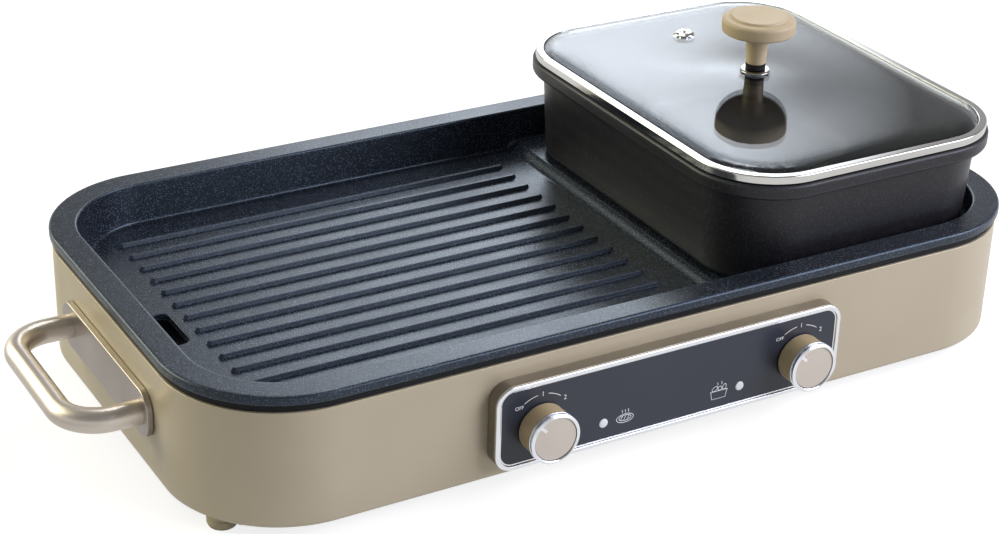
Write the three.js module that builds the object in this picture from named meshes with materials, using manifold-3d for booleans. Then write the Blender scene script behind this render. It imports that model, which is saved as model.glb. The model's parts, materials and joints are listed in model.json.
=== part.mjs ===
// Table-top hot pot and grill combination: a heated base, a ribbed grill plate that lifts off,
// and a lidded pot that stands on the plate. Lengths are in millimetres, +Z is up, the controls
// face -Y, and the origin lies under the middle of the whole model, on the table.
import * as THREE from "three";
import { mergeVertices } from "three/addons/utils/BufferGeometryUtils.js";
import Module from "manifold-3d";

const wasm = await Module();
wasm.setup();

// Straight steps that stand for a round
const cornerSteps = 6;
const edgeSteps = 2;
const wheelSides = 24;
const pinSides = 10;
const tubeSides = 10;
const heaterSides = 6;
const barSteps = 20;
const grillHeaterSteps = 64;
const potHeaterSteps = 40;

// Clearances and stock
const gap = 0.3;
const overrun = 1;
const sheet = 1;

// Grill plate, the widest piece, whose outline the base follows
const plate = {
  length: 600,
  depth: 324.8,
  cornerRadius: 77,
  rimWidth: 17.8,
  rimThickness: 6.2,
  rimRound: 2,
  wellDepth: 26.4,
  draft: 5.7,
  wall: 3.2,
  floor: 4,
  footFillet: 3,
};
const rib = {
  count: 13,
  pitch: 18.4,
  foot: 5,
  crest: 2,
  height: 3,
  taper: 5,
  endInset: 53,
  rampGap: 21,
};
const platform = { length: 241, rise: 5, ramp: 7, ease: 1.4 };
const slot = { width: 17.5, length: 41.5, radius: 6, wallGap: 2.7, offset: 8 };

// Base
const base = {
  clearance: 9,
  height: 77.1,
  step: 1.5,
  wall: 1.6,
  flange: 10,
  lowerRound: 4,
  upperRound: 0.8,
};
const cover = { thickness: 2.5 };
const boss = { height: 26, bite: 0.6 };
const foot = { radius: 9.35, endInset: 23, sideInset: 43.4, chamfer: 1.2 };
const collar = { height: 3.2, step: 2.6 };
const shield = { step: 4, airGap: 5, wallGap: 0.8, foldRound: 2 };

// Heaters under the plate
const heater = {
  radius: 3.3,
  bend: 16,
  leadBend: 7,
  lead: 14,
  holeEase: 2,
  grillReach: 105,
  endInset: 75,
  rampGap: 24,
  innerInset: 45,
  potInset: 24,
  potReach: 105,
  potMouth: 25,
};
const rail = { width: 8, overhang: 8 };
const drip = { wall: 1.5, shieldGap: 3, reach: 15, sideReach: 17, topGap: 0.6 };

// Controls
const panel = {
  length: 250,
  height: 56.7,
  cornerRadius: 12,
  proud: 10.8,
  drop: 1,
  wall: 2.5,
  front: 2,
  trimWidth: 3.9,
  trimThickness: 1.7,
  faceThickness: 1.2,
  screwSpread: 60,
  screwRise: 14,
  bossRadius: 4,
};
const knob = {
  endInset: 31,
  drop: 3.25,
  length: 17,
  radius: 16.6,
  ringRadius: 17.5,
  ringLength: 4.2,
  ringWidth: 3.2,
  ringBevel: 1.4,
  capSink: 0.8,
  pointerWidth: 1.8,
  pointerLength: 4.5,
  pointerDepth: 0.8,
  boreWall: 3,
};
const selector = {
  depth: 25,
  width: 20,
  topGap: 0.8,
  bushRadius: 4,
  bushReach: 4,
  seat: 8,
  shaftRadius: 2.7,
};
const lamp = { radius: 2.75, spread: 50, drop: 10.1, collar: 0.85, collarLength: 2.5, proud: 0.6 };

// Handles
const handle = {
  plateLength: 144,
  plateHeight: 31,
  plateRadius: 12,
  plateThickness: 4,
  plateChamfer: 0.6,
  radius: 8,
  spread: 119,
  reach: 45.7,
  bend: 24,
  rise: 3,
};

// Power entry at the back
const gland = { offset: 150, height: 30, radius: 6, flange: 3, lip: 1.2, dish: 2, pilot: 1.7 };
const terminal = { length: 42, depth: 18, height: 14, setback: 22, notch: 5, notchDepth: 6 };

// Screws
const coverScrew = { radius: 1.7, head: 3.5, headHeight: 2, length: 14 };
const handleScrew = { radius: 2.5, head: 4.4, headHeight: 2.6, grip: 12 };
const panelScrew = { radius: 1.6, head: 3, headHeight: 1.8, grip: 5 };

// Pot
const pot = {
  clearance: 4.3,
  cornerEase: 10.9,
  height: 72.7,
  flare: 3.9,
  flangeWidth: 7.8,
  flangeHeight: 9.8,
  flangeRound: 1.5,
  wall: 3,
  floor: 4,
  footRound: 4,
};

// Lid
const lid = {
  ringInset: 1.8,
  ringWidth: 5.5,
  ringSheet: 0.7,
  ringRound: 1,
  glass: 4,
  dome: 7.7,
  crownShare: 0.955,
};
const vent = { crownGap: 0.6, bore: 1.8, stem: 3.7, flange: 7.5, flangeHeight: 1.6 };
const grip = {
  seatRadius: 10.5,
  seatHeight: 1.5,
  washerRadius: 6.9,
  washerHeight: 3.7,
  stemFoot: 6.8,
  stemTop: 8.1,
  stemHeight: 22.4,
  discRadius: 25,
  discHeight: 10,
  discRound: 3.2,
  tierRadius: 19.2,
  tierHeight: 1.7,
  screwRadius: 2.5,
  screwHead: 7,
  screwHeadHeight: 1.6,
  screwDepth: 14,
};

const paint = { color: 0xc3b7a0, roughness: 0.42, metalness: 0.35 };
const satinNickel = { color: 0xbcb0a2, roughness: 0.3, metalness: 0.9 };
const nonStick = { color: 0x474d59, roughness: 0.55, metalness: 0.2 };
const potCoat = { color: 0x2c2c31, roughness: 0.6, metalness: 0.15 };
const darkSilicone = { color: 0x1b2028, roughness: 0.7, metalness: 0 };
const beigePlastic = { color: 0xc4b595, roughness: 0.55, metalness: 0 };
const panelPaint = { color: 0x8f8a80, roughness: 0.4, metalness: 0.3 };
const panelGlass = { color: 0x3c424f, roughness: 0.35, metalness: 0.05 };
const chrome = { color: 0xe6e8ec, roughness: 0.12, metalness: 1 };
const stainless = { color: 0xc9ccd0, roughness: 0.22, metalness: 1 };
const champagne = { color: 0x8c7d60, roughness: 0.4, metalness: 0.5 };
const lampWhite = { color: 0xe9ebee, roughness: 0.3, metalness: 0 };
const steel = { color: 0xa3a6ab, roughness: 0.4, metalness: 0.9 };
const heaterMetal = { color: 0x6a655f, roughness: 0.6, metalness: 0.7 };
const aluminised = { color: 0xb9bcc0, roughness: 0.35, metalness: 0.9 };
const blackPlastic = { color: 0x1f2023, roughness: 0.6, metalness: 0 };
const rubber = { color: 0xb8a98a, roughness: 0.85, metalness: 0 };
const clearGlass = { color: 0xbfc9cf, roughness: 0.05, metalness: 0, transparent: true, opacity: 0.35 };

// Heights of the stack, from the table up
const coverUnder = base.clearance + gap;
const coverTop = coverUnder + cover.thickness;
const baseTop = base.clearance + base.height;
const baseMiddle = base.clearance + base.height / 2;
const shieldRimTop = baseTop + gap + sheet;
const collarUnder = shieldRimTop + gap;
const rimUnder = collarUnder + collar.height + gap;
const rimTop = rimUnder + plate.rimThickness;
const wellFloor = rimTop - plate.wellDepth;
const plateUnder = wellFloor - plate.floor;
const heaterHeight = plateUnder - gap - heater.radius;
const shieldFloor = heaterHeight - heater.radius - shield.airGap;
const shieldUnder = shieldFloor - sheet;
const platformTop = wellFloor + platform.rise;
const potUnder = platformTop + gap;
const potTop = potUnder + pot.height;
const flangeUnder = potTop - pot.flangeHeight;
const ringUnder = potTop + gap;
const glassUnder = ringUnder + lid.ringSheet + gap;
const glassEdgeTop = glassUnder + lid.glass;
const ringTop = glassEdgeTop + gap + lid.ringSheet;
const glassTop = glassEdgeTop + lid.dome;
const seatUnder = glassTop + gap;
const washerUnder = seatUnder + grip.seatHeight + gap;
const gripUnder = washerUnder + grip.washerHeight + gap;
const panelHeight = baseMiddle - panel.drop;
const knobHeight = panelHeight - knob.drop;
const handleHeight = baseMiddle + handle.rise;

// Insets from the plate's outer edge
const shellInset = base.step;
const shellInnerInset = shellInset + base.wall;
const beadInset = shellInset + base.lowerRound;
const bossInset = beadInset + gap + gap + coverScrew.head;
const bossRadius = bossInset - shellInnerInset + boss.bite;
const mouthInset = shellInset + base.flange;
const shieldInset = mouthInset + shield.wallGap;
const shieldInnerInset = shieldInset + sheet;
const wallFootInset = plate.rimWidth + plate.draft;

const plateFrame = {
  halfLength: plate.length / 2,
  halfDepth: plate.depth / 2,
  radius: plate.cornerRadius,
};
const shellEnd = plateFrame.halfLength - shellInset;
const shellSide = plateFrame.halfDepth - shellInset;
const frontReach = shellSide + panel.proud + knob.length;

// Places along the plate
const wallFootEnd = plateFrame.halfLength - wallFootInset;
const wallFootSide = plateFrame.halfDepth - wallFootInset;
const rampFoot = plateFrame.halfLength - platform.length;
const rampTop = rampFoot + platform.ramp;
const slotLeft = slot.wallGap - wallFootEnd;
const slotRight = slotLeft + slot.width;

// Pot outline: its foot fills the platform but for its clearance
const potGrowth = pot.flare + pot.flangeWidth;
const potCentre = (rampTop + wallFootEnd) / 2;
const potFrame = {
  halfLength: (wallFootEnd - rampTop) / 2 - pot.clearance + potGrowth,
  halfDepth: wallFootSide - pot.clearance + potGrowth,
  radius: plate.cornerRadius - wallFootInset - pot.cornerEase + potGrowth,
};

/** The corner points of a rounded rectangle moved in by inset, counter-clockwise. */
function roundedOutline(frame, inset = 0) {
  const radius = frame.radius - inset;
  const signs = [[1, 1], [-1, 1], [-1, -1], [1, -1]];
  const corner = ([alongX, alongY], quarter) =>
    Array.from({ length: cornerSteps + 1 }, (_, step) => {
      const angle = ((quarter + step / cornerSteps) * Math.PI) / 2;
      return new THREE.Vector2(
        alongX * (frame.halfLength - frame.radius) + radius * Math.cos(angle),
        alongY * (frame.halfDepth - frame.radius) + radius * Math.sin(angle),
      );
    });
  return signs.flatMap(corner);
}

/** The points of a circle, counter-clockwise. */
function circleOutline(radius, sides) {
  return Array.from({ length: sides }, (_, side) => {
    const angle = (side / sides) * 2 * Math.PI;
    return new THREE.Vector2(radius * Math.cos(angle), radius * Math.sin(angle));
  });
}

/** A closed body through outlines of equally many points, each at its own height. */
function loft(outlines, heights) {
  const bands = outlines.length - 1;
  const key = (x, y) => `${Math.fround(x)} ${Math.fround(y)}`;
  const order = new Map(outlines[0].map((point, index) => [key(point.x, point.y), index]));
  const body = new THREE.ExtrudeGeometry(new THREE.Shape(outlines[0]), {
    depth: bands,
    steps: bands,
    bevelEnabled: false,
  });
  const place = body.getAttribute("position");
  for (let index = 0; index < place.count; index++) {
    const level = Math.round(place.getZ(index));
    const point = outlines[level][order.get(key(place.getX(index), place.getY(index)))];
    place.setXYZ(index, point.x, point.y, heights[level]);
  }
  return body;
}

/** A rounded rectangle whose inset changes with height: levels are [inset, height]. */
function roundedLoft(frame, levels) {
  return loft(
    levels.map(([inset]) => roundedOutline(frame, inset)),
    levels.map(([, height]) => height),
  );
}

/** A straight prism on a rounded rectangle. */
function roundedPrism(frame, inset, from, to) {
  return roundedLoft(frame, [[inset, from], [inset, to]]);
}

/** Levels of a rounded lower edge, from its underside up. */
function lowerRound(inset, height, radius) {
  return Array.from({ length: edgeSteps + 1 }, (_, step) => {
    const angle = ((step / edgeSteps) * Math.PI) / 2;
    return [inset + radius * (1 - Math.sin(angle)), height + radius * (1 - Math.cos(angle))];
  });
}

/** Levels of a rounded upper edge, ending on its top. */
function upperRound(inset, height, radius) {
  return lowerRound(inset, 0, radius)
    .reverse()
    .map(([at, up]) => [at, height - up]);
}

/** A body turned about Z from a profile of [radius, height] pairs. */
function turned(profile, sides = wheelSides) {
  const points = profile.map(([radius, height]) => new THREE.Vector2(radius, height));
  return new THREE.LatheGeometry(points, sides).rotateX(Math.PI / 2);
}

/** A rod along Z. */
function rod(radius, from, to, sides = pinSides) {
  return turned([[0, from], [radius, from], [radius, to], [0, to]], sides);
}

/** A screw along Z with its head below height zero. */
function screw(size, length) {
  return turned(
    [
      [0, -size.headHeight],
      [size.head, -size.headHeight],
      [size.head, 0],
      [size.radius, 0],
      [size.radius, length],
      [0, length],
    ],
    pinSides,
  );
}

/** A route through points, with a bend for each corner between the first and the last. */
function route(points, bends) {
  const path = new THREE.CurvePath();
  let from = points[0];
  points.slice(1, -1).forEach((corner, index) => {
    const into = corner.clone().sub(points[index]).setLength(bends[index]);
    const out = points[index + 2].clone().sub(corner).setLength(bends[index]);
    const start = corner.clone().sub(into);
    const end = corner.clone().add(out);
    path.add(new THREE.LineCurve3(from, start));
    path.add(new THREE.QuadraticBezierCurve3(start, corner, end));
    from = end;
  });
  path.add(new THREE.LineCurve3(from, points.at(-1)));
  return path;
}

/** A round bar along a route. */
function tube(path, radius, sides, steps) {
  return new THREE.ExtrudeGeometry(new THREE.Shape(circleOutline(radius, sides)), {
    steps,
    extrudePath: path,
    bevelEnabled: false,
  });
}

/** A three.js geometry as a solid that can be joined and cut. */
function solid(geometry) {
  const bare = geometry.index ? geometry.toNonIndexed() : geometry.clone();
  bare.deleteAttribute("normal");
  bare.deleteAttribute("uv");
  const merged = mergeVertices(bare);
  return new wasm.Manifold(
    new wasm.Mesh({
      numProp: 3,
      vertProperties: merged.getAttribute("position").array,
      triVerts: new Uint32Array(merged.index.array),
    }),
  );
}

/** The first geometry joined with the others. */
function joined(first, others) {
  return others.reduce((whole, other) => whole.add(solid(other)), solid(first));
}

/** A solid or geometry with the given geometries cut out of it. */
function cut(body, cutters) {
  const whole = body.isBufferGeometry ? solid(body) : body;
  return cutters.reduce((rest, cutter) => rest.subtract(solid(cutter)), whole);
}

/** A solid as a three.js geometry. */
function geometryOf(body) {
  const { vertProperties, triVerts } = body.getMesh();
  return new THREE.BufferGeometry()
    .setAttribute("position", new THREE.BufferAttribute(vertProperties, 3))
    .setIndex(new THREE.BufferAttribute(triVerts, 1));
}

/** A named mesh with a material of its own. */
function piece(name, body, finish) {
  const geometry = body.isBufferGeometry ? body : geometryOf(body);
  const mesh = new THREE.Mesh(geometry, new THREE.MeshStandardMaterial(finish));
  mesh.name = name;
  return mesh;
}

/** The same geometry moved. */
function moved(geometry, x, y, z = 0) {
  return geometry.translate(x, y, z);
}

/** Z turned to face the front: heights become distances out of the front wall. */
function facing(geometry) {
  return geometry.rotateX(Math.PI / 2);
}

/** A group that holds pieces at a place. */
function groupAt(x, y, z, pieces) {
  const group = new THREE.Group();
  group.position.set(x, y, z);
  group.add(...pieces);
  return group;
}

const ends = [["left", -1], ["right", 1]];
const sides = [["front", -1], ["back", 1]];
const corners = sides.flatMap(([side, alongY]) =>
  ends.map(([end, alongX]) => [`${side}_${end}`, alongX, alongY]),
);

/** Where the cover's screws and their bosses stand, in the corners of the shell. */
function bossPlace(alongX, alongY) {
  const reach = (plate.cornerRadius - bossInset) * Math.SQRT1_2;
  return [
    alongX * (plateFrame.halfLength - plate.cornerRadius + reach),
    alongY * (plateFrame.halfDepth - plate.cornerRadius + reach),
  ];
}

/** Painted wall of the base, with the flange that carries the plate. */
function baseShell() {
  const outside = roundedLoft(plateFrame, [
    ...lowerRound(shellInset, base.clearance, base.lowerRound),
    ...upperRound(shellInset, baseTop, base.upperRound),
  ]);
  const room = roundedLoft(plateFrame, [
    [beadInset, base.clearance - overrun],
    [beadInset, coverTop + gap],
    [shellInnerInset, coverTop + gap],
    [shellInnerInset, baseTop - base.wall],
  ]);
  const mouth = roundedPrism(plateFrame, mouthInset, baseTop - base.wall - overrun, baseTop + overrun);
  const bossUnder = coverTop + gap;
  const posts = corners.map(([, alongX, alongY]) =>
    moved(rod(bossRadius, bossUnder, bossUnder + boss.height), ...bossPlace(alongX, alongY)),
  );
  const bores = corners.map(([, alongX, alongY]) =>
    moved(
      rod(coverScrew.radius + gap, bossUnder - overrun, bossUnder + coverScrew.length),
      ...bossPlace(alongX, alongY),
    ),
  );
  const hollow = cut(outside, [room, mouth]);
  const posted = posts.reduce((whole, post) => whole.add(solid(post)), hollow);
  return cut(posted, [...bores, ...wallHoles()]);
}

/** Holes through the shell's walls for the controls, the handles and the power cord. */
function wallHoles() {
  const through = (radius) => facing(rod(radius, -base.wall - overrun, overrun));
  const front = ends.flatMap(([, along]) => [
    moved(through(selector.bushRadius + gap), along * knobSpread, -shellSide, knobHeight),
    moved(
      through(panelScrew.radius + gap),
      along * panel.screwSpread,
      -shellSide,
      panelHeight + panel.screwRise,
    ),
  ]);
  const atEnds = ends.flatMap(([, end]) =>
    sides.map(([, side]) =>
      moved(
        through(handleScrew.radius + gap).rotateZ((end * Math.PI) / 2),
        end * shellEnd,
        (side * handle.spread) / 2,
        handleHeight,
      ),
    ),
  );
  const back = moved(
    through(gland.radius + gap).rotateZ(Math.PI),
    gland.offset,
    shellSide,
    gland.height,
  );
  return [...front, ...atEnds, back];
}

const knobSpread = panel.length / 2 - knob.endInset;

/** Sheet that closes the base from below. */
function bottomCover() {
  const plateBody = roundedPrism(plateFrame, beadInset + gap, coverUnder, coverTop);
  const holes = corners.map(([, alongX, alongY]) =>
    moved(
      rod(coverScrew.radius + gap, coverUnder - overrun, coverTop + overrun),
      ...bossPlace(alongX, alongY),
    ),
  );
  return cut(plateBody, holes);
}

/** One of the feet under the cover. */
function footBody() {
  return turned([
    [0, 0],
    [foot.radius - foot.chamfer, 0],
    [foot.radius, foot.chamfer],
    [foot.radius, base.clearance],
    [0, base.clearance],
  ]);
}

/** Dark ring between the base and the plate's rim. */
function plateCollar() {
  const top = collarUnder + collar.height;
  const ring = roundedPrism(plateFrame, collar.step, collarUnder, top);
  return cut(ring, [roundedPrism(plateFrame, mouthInset, collarUnder - overrun, top + overrun)]);
}

/** Pan of thin sheet that hangs on the base's flange and carries the heaters. */
function heatShield() {
  const rim = roundedPrism(plateFrame, shield.step, shieldRimTop - sheet, shieldRimTop);
  const pan = roundedLoft(plateFrame, [
    ...lowerRound(shieldInset, shieldUnder, shield.foldRound),
    [shieldInset, shieldRimTop],
  ]);
  const room = roundedLoft(plateFrame, [
    ...lowerRound(shieldInnerInset, shieldFloor, shield.foldRound),
    [shieldInnerInset, shieldRimTop + overrun],
  ]);
  const leads = [...grillLeads(), ...potLeads()].map(([x, y]) =>
    moved(rod(heater.radius + heater.holeEase, shieldUnder - overrun, shieldFloor + overrun), x, y),
  );
  return cut(joined(pan, [rim]), [room, ...leads]);
}

/** The two places where the grill heater's ends go down through the shield. */
function grillLeads() {
  return [
    [rampFoot - heater.rampGap, -heater.grillReach],
    [rampFoot - heater.rampGap, -heater.grillReach / 3],
  ];
}

/** The two places where the pot heater's ends go down through the shield. */
function potLeads() {
  return [
    [rampTop + heater.potInset, -heater.potMouth],
    [rampTop + heater.potInset, heater.potMouth],
  ];
}

/** Heating tube with four runs under the ribs. */
function grillHeater() {
  const right = rampFoot - heater.rampGap;
  const left = heater.endInset - plateFrame.halfLength;
  const inner = left + heater.innerInset;
  const far = heater.grillReach;
  const near = heater.grillReach / 3;
  const turns = [
    [right, -far],
    [left, -far],
    [left, far],
    [right, far],
    [right, near],
    [inner, near],
    [inner, -near],
    [right, -near],
  ];
  return heatingTube(turns, grillHeaterSteps);
}

/** Heating tube with one wide turn under the pot. */
function potHeater() {
  const left = rampTop + heater.potInset;
  const right = wallFootEnd - heater.potInset;
  const far = heater.potReach;
  const turns = [
    [left, -heater.potMouth],
    [left, -far],
    [right, -far],
    [right, far],
    [left, far],
    [left, heater.potMouth],
  ];
  return heatingTube(turns, potHeaterSteps);
}

/** A heating tube through turns, its two ends led down through the shield. */
function heatingTube(turns, steps) {
  const low = shieldUnder - heater.lead;
  const level = turns.map(([x, y]) => new THREE.Vector3(x, y, heaterHeight));
  const first = level[0].clone().setZ(low);
  const last = level.at(-1).clone().setZ(low);
  const bends = [heater.leadBend, ...turns.slice(2).map(() => heater.bend), heater.leadBend];
  return tube(route([first, ...level, last], bends), heater.radius, heaterSides, steps);
}

/** Support rail across the shield, under the heating tubes. */
function heaterRail(reach) {
  const height = shield.airGap - gap - gap;
  const bar = new THREE.BoxGeometry(rail.width, 2 * (reach + rail.overhang), height);
  return moved(bar, 0, 0, shieldFloor + gap + height / 2);
}

/** Cup under the drain slot. */
function dripCup() {
  const left = shieldInnerInset + drip.shieldGap - plateFrame.halfLength;
  const right = slotRight + drip.reach;
  const frame = {
    halfLength: (right - left) / 2,
    halfDepth: slot.length / 2 + drip.sideReach,
    radius: slot.radius,
  };
  const under = shieldFloor + gap;
  const top = plateUnder - drip.topGap;
  const room = roundedPrism(frame, drip.wall, under + drip.wall, top + overrun);
  const cup = cut(roundedPrism(frame, 0, under, top), [room]);
  return [geometryOf(cup), (left + right) / 2];
}

/** Cast plate with its ribbed well, the pot's platform and the drain slot. */
function grillPlate() {
  const drop = plate.draft / plate.wellDepth;
  const wallAt = (height) => plate.rimWidth - plate.wall + drop * (rimTop - height);
  const body = roundedLoft(plateFrame, [
    ...lowerRound(wallAt(plateUnder + plate.floor), plateUnder, plate.floor),
    [wallAt(rimUnder), rimUnder],
    ...lowerRound(0, rimUnder, plate.rimRound / 2),
    ...upperRound(0, rimTop, plate.rimRound),
  ]);
  const lip = plate.rimRound / 2;
  const well = roundedLoft(plateFrame, [
    ...lowerRound(wallFootInset, wellFloor, plate.footFillet),
    [plate.rimWidth + drop * lip, rimTop - lip],
    [plate.rimWidth - lip, rimTop],
    [plate.rimWidth - lip, rimTop + overrun],
  ]);
  const room = cut(well, [platformBlock()]);
  const open = cut(solid(body).subtract(room), [drainSlot()]);
  return ribPlaces().reduce((whole, y) => whole.add(solid(ribBody(y))), open);
}

/** Block that fills the well up to the platform, with the eased ramp on its left. */
function platformBlock() {
  const top = platformTop;
  const outline = [
    [rampFoot - platform.ease, wellFloor - overrun],
    [plateFrame.halfLength, wellFloor - overrun],
    [plateFrame.halfLength, top],
    [rampTop + platform.ease, top],
    [rampTop, top - platform.ease / 3],
    [rampFoot, wellFloor + platform.ease / 3],
    [rampFoot - platform.ease, wellFloor],
  ].map(([x, z]) => new THREE.Vector2(x, z));
  const block = new THREE.ExtrudeGeometry(new THREE.Shape(outline), {
    depth: plate.depth,
    bevelEnabled: false,
  });
  return moved(facing(block), 0, plateFrame.halfDepth);
}

/** Cutter of the drain slot through the plate's floor. */
function drainSlot() {
  const frame = { halfLength: slot.width / 2, halfDepth: slot.length / 2, radius: slot.radius };
  const body = roundedLoft(frame, [
    [0, plateUnder - overrun],
    [0, wellFloor - plate.floor / 4],
    [-plate.floor / 4, wellFloor],
    [-plate.floor / 4, wellFloor + overrun],
  ]);
  return moved(body, (slotLeft + slotRight) / 2, -slot.offset);
}

/** The ribs' places across the well. */
function ribPlaces() {
  return Array.from({ length: rib.count }, (_, index) => (index - (rib.count - 1) / 2) * rib.pitch);
}

/** One rib, with pointed ends that fall to the floor. */
function ribBody(y) {
  const left = rib.endInset - plateFrame.halfLength;
  const right = rampFoot - rib.rampGap;
  const outline = (width, inset) =>
    [
      [left + inset, 0],
      [left + inset + rib.taper / 2, -width / 2],
      [right - inset - rib.taper / 2, -width / 2],
      [right - inset, 0],
      [right - inset - rib.taper / 2, width / 2],
      [left + inset + rib.taper / 2, width / 2],
    ].map(([x, across]) => new THREE.Vector2(x, y + across));
  const foot = outline(rib.foot, 0);
  const crest = outline(rib.crest, rib.taper);
  return loft([foot, foot, crest], [wellFloor - plate.floor / 2, wellFloor, wellFloor + rib.height]);
}

/** Control panel, built facing up and then turned to the front. */
function controlPanel() {
  const frame = {
    halfLength: panel.length / 2,
    halfDepth: panel.height / 2,
    radius: panel.cornerRadius,
  };
  const trimBack = panel.proud - panel.trimThickness;
  const housingFront = trimBack - gap;
  const faceFront = trimBack + panel.faceThickness;
  const shafts = ends.map(([, along]) => [along * knobSpread, -knob.drop]);
  const lamps = ends.map(([, along]) => [along * lamp.spread, -knob.drop - lamp.drop]);
  const screws = ends.map(([, along]) => [along * panel.screwSpread, panel.screwRise]);
  const holes = () => [
    ...shafts.map(([x, y]) => moved(rod(selector.shaftRadius + gap, 0, panel.proud), x, y)),
    ...lamps.map(([x, y]) => moved(rod(lamp.radius + gap, 0, panel.proud, wheelSides), x, y)),
  ];
  const cavity = roundedPrism(frame, panel.wall, gap - overrun, housingFront - panel.front);
  const posts = screws.map(([x, y]) =>
    moved(rod(panel.bossRadius, gap, housingFront - panel.front / 2), x, y),
  );
  const bores = screws.map(([x, y]) =>
    moved(rod(panelScrew.radius + gap, 0, gap + panelScrew.grip + gap), x, y),
  );
  const shell = cut(roundedPrism(frame, 0, gap, housingFront), [cavity]);
  const housing = cut(
    posts.reduce((whole, post) => whole.add(solid(post)), shell),
    [...bores, ...holes()],
  );
  const trim = cut(
    roundedLoft(frame, [
      [0, trimBack],
      [0, panel.proud - panel.trimThickness / 3],
      [panel.trimThickness / 3, panel.proud],
    ]),
    [roundedPrism(frame, panel.trimWidth, trimBack - overrun, panel.proud + overrun)],
  );
  const face = cut(roundedPrism(frame, panel.trimWidth + gap, trimBack, faceFront), holes());
  const lampBack = housingFront - panel.front - gap;
  const lens = [
    [0, lampBack - lamp.collarLength],
    [lamp.radius + lamp.collar, lampBack - lamp.collarLength],
    [lamp.radius + lamp.collar, lampBack],
    [lamp.radius, lampBack],
    [lamp.radius, faceFront],
    [lamp.radius - lamp.proud, faceFront + lamp.proud / 2],
    [0, faceFront + lamp.proud],
  ];
  const panelScrewLength = base.wall + gap + gap + panelScrew.grip;
  const flat = [
    piece("panel_housing", housing, panelPaint),
    piece("panel_trim_ring", trim, chrome),
    piece("panel_face", face, panelGlass),
    ...ends.map(([end], index) =>
      piece(`lamp_${end}`, moved(turned(lens, pinSides), ...lamps[index]), lampWhite),
    ),
    ...ends.map(([end], index) =>
      piece(
        `panel_screw_${end}`,
        moved(screw(panelScrew, panelScrewLength), ...screws[index], -base.wall - gap),
        steel,
      ),
    ),
    ...ends.flatMap(([end], index) => knobPieces(end, shafts[index], faceFront)),
    ...ends.map(([end], index) => switchPiece(end, shafts[index])),
  ];
  const group = groupAt(0, -shellSide, panelHeight, flat);
  group.rotation.x = Math.PI / 2;
  return group;
}

/** One turning knob: barrel, bright ring, cap with its pointer, and the shaft it sits on. */
function knobPieces(end, [x, y], faceFront) {
  const front = panel.proud + knob.length;
  const ringBack = front - knob.ringLength;
  const barrelFront = ringBack - gap;
  const barrelBack = faceFront + gap;
  const boreEnd = barrelFront - knob.boreWall;
  const shaftRadius = selector.shaftRadius;
  const barrel = turned([
    [0, boreEnd],
    [shaftRadius + gap, boreEnd],
    [shaftRadius + gap, barrelBack],
    [knob.radius, barrelBack],
    [knob.radius, barrelFront - gap],
    [knob.radius - gap, barrelFront],
    [0, barrelFront],
  ]);
  const ringInner = knob.ringRadius - knob.ringWidth;
  const bevel = knob.ringBevel;
  const ring = turned([
    [ringInner, ringBack],
    [knob.ringRadius - bevel / 2, ringBack],
    [knob.ringRadius, ringBack + bevel / 2],
    [knob.ringRadius, front - bevel],
    [knob.ringRadius - bevel, front],
    [ringInner + bevel / 2, front],
    [ringInner, front - bevel / 2],
    [ringInner, ringBack],
  ]);
  const capRadius = ringInner - gap;
  const capFront = front - knob.capSink;
  const mark = new THREE.BoxGeometry(
    knob.pointerWidth,
    knob.pointerLength + overrun,
    knob.pointerDepth + overrun,
  );
  moved(
    mark,
    0,
    capRadius - (knob.pointerLength - overrun) / 2,
    capFront - (knob.pointerDepth - overrun) / 2,
  );
  const cap = cut(rod(capRadius, ringBack, capFront, wheelSides), [mark.rotateZ(Math.PI / 4)]);
  const shaft = rod(shaftRadius, -base.wall - selector.seat, boreEnd - gap);
  return [
    piece(`knob_${end}_barrel`, barrel, champagne),
    piece(`knob_${end}_ring`, ring, chrome),
    piece(`knob_${end}_cap`, cap, paint),
    piece(`knob_${end}_shaft`, shaft, steel),
  ].map((mesh) => {
    mesh.position.set(x, y, 0);
    return mesh;
  });
}

/** Rotary switch behind the front wall, its bush reaching out through it. */
function switchPiece(end, [x, y]) {
  const half = shieldUnder - selector.topGap - knobHeight;
  const back = -base.wall - gap;
  const box = new THREE.BoxGeometry(selector.width, 2 * half, selector.depth);
  moved(box, 0, 0, back - selector.depth / 2);
  const bush = rod(selector.bushRadius, back - overrun, selector.bushReach);
  const bore = rod(
    selector.shaftRadius + gap,
    -base.wall - selector.seat - gap,
    selector.bushReach + overrun,
  );
  const mesh = piece(`switch_${end}`, cut(joined(box, [bush]), [bore]), blackPlastic);
  mesh.position.set(x, y, 0);
  return mesh;
}

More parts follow.
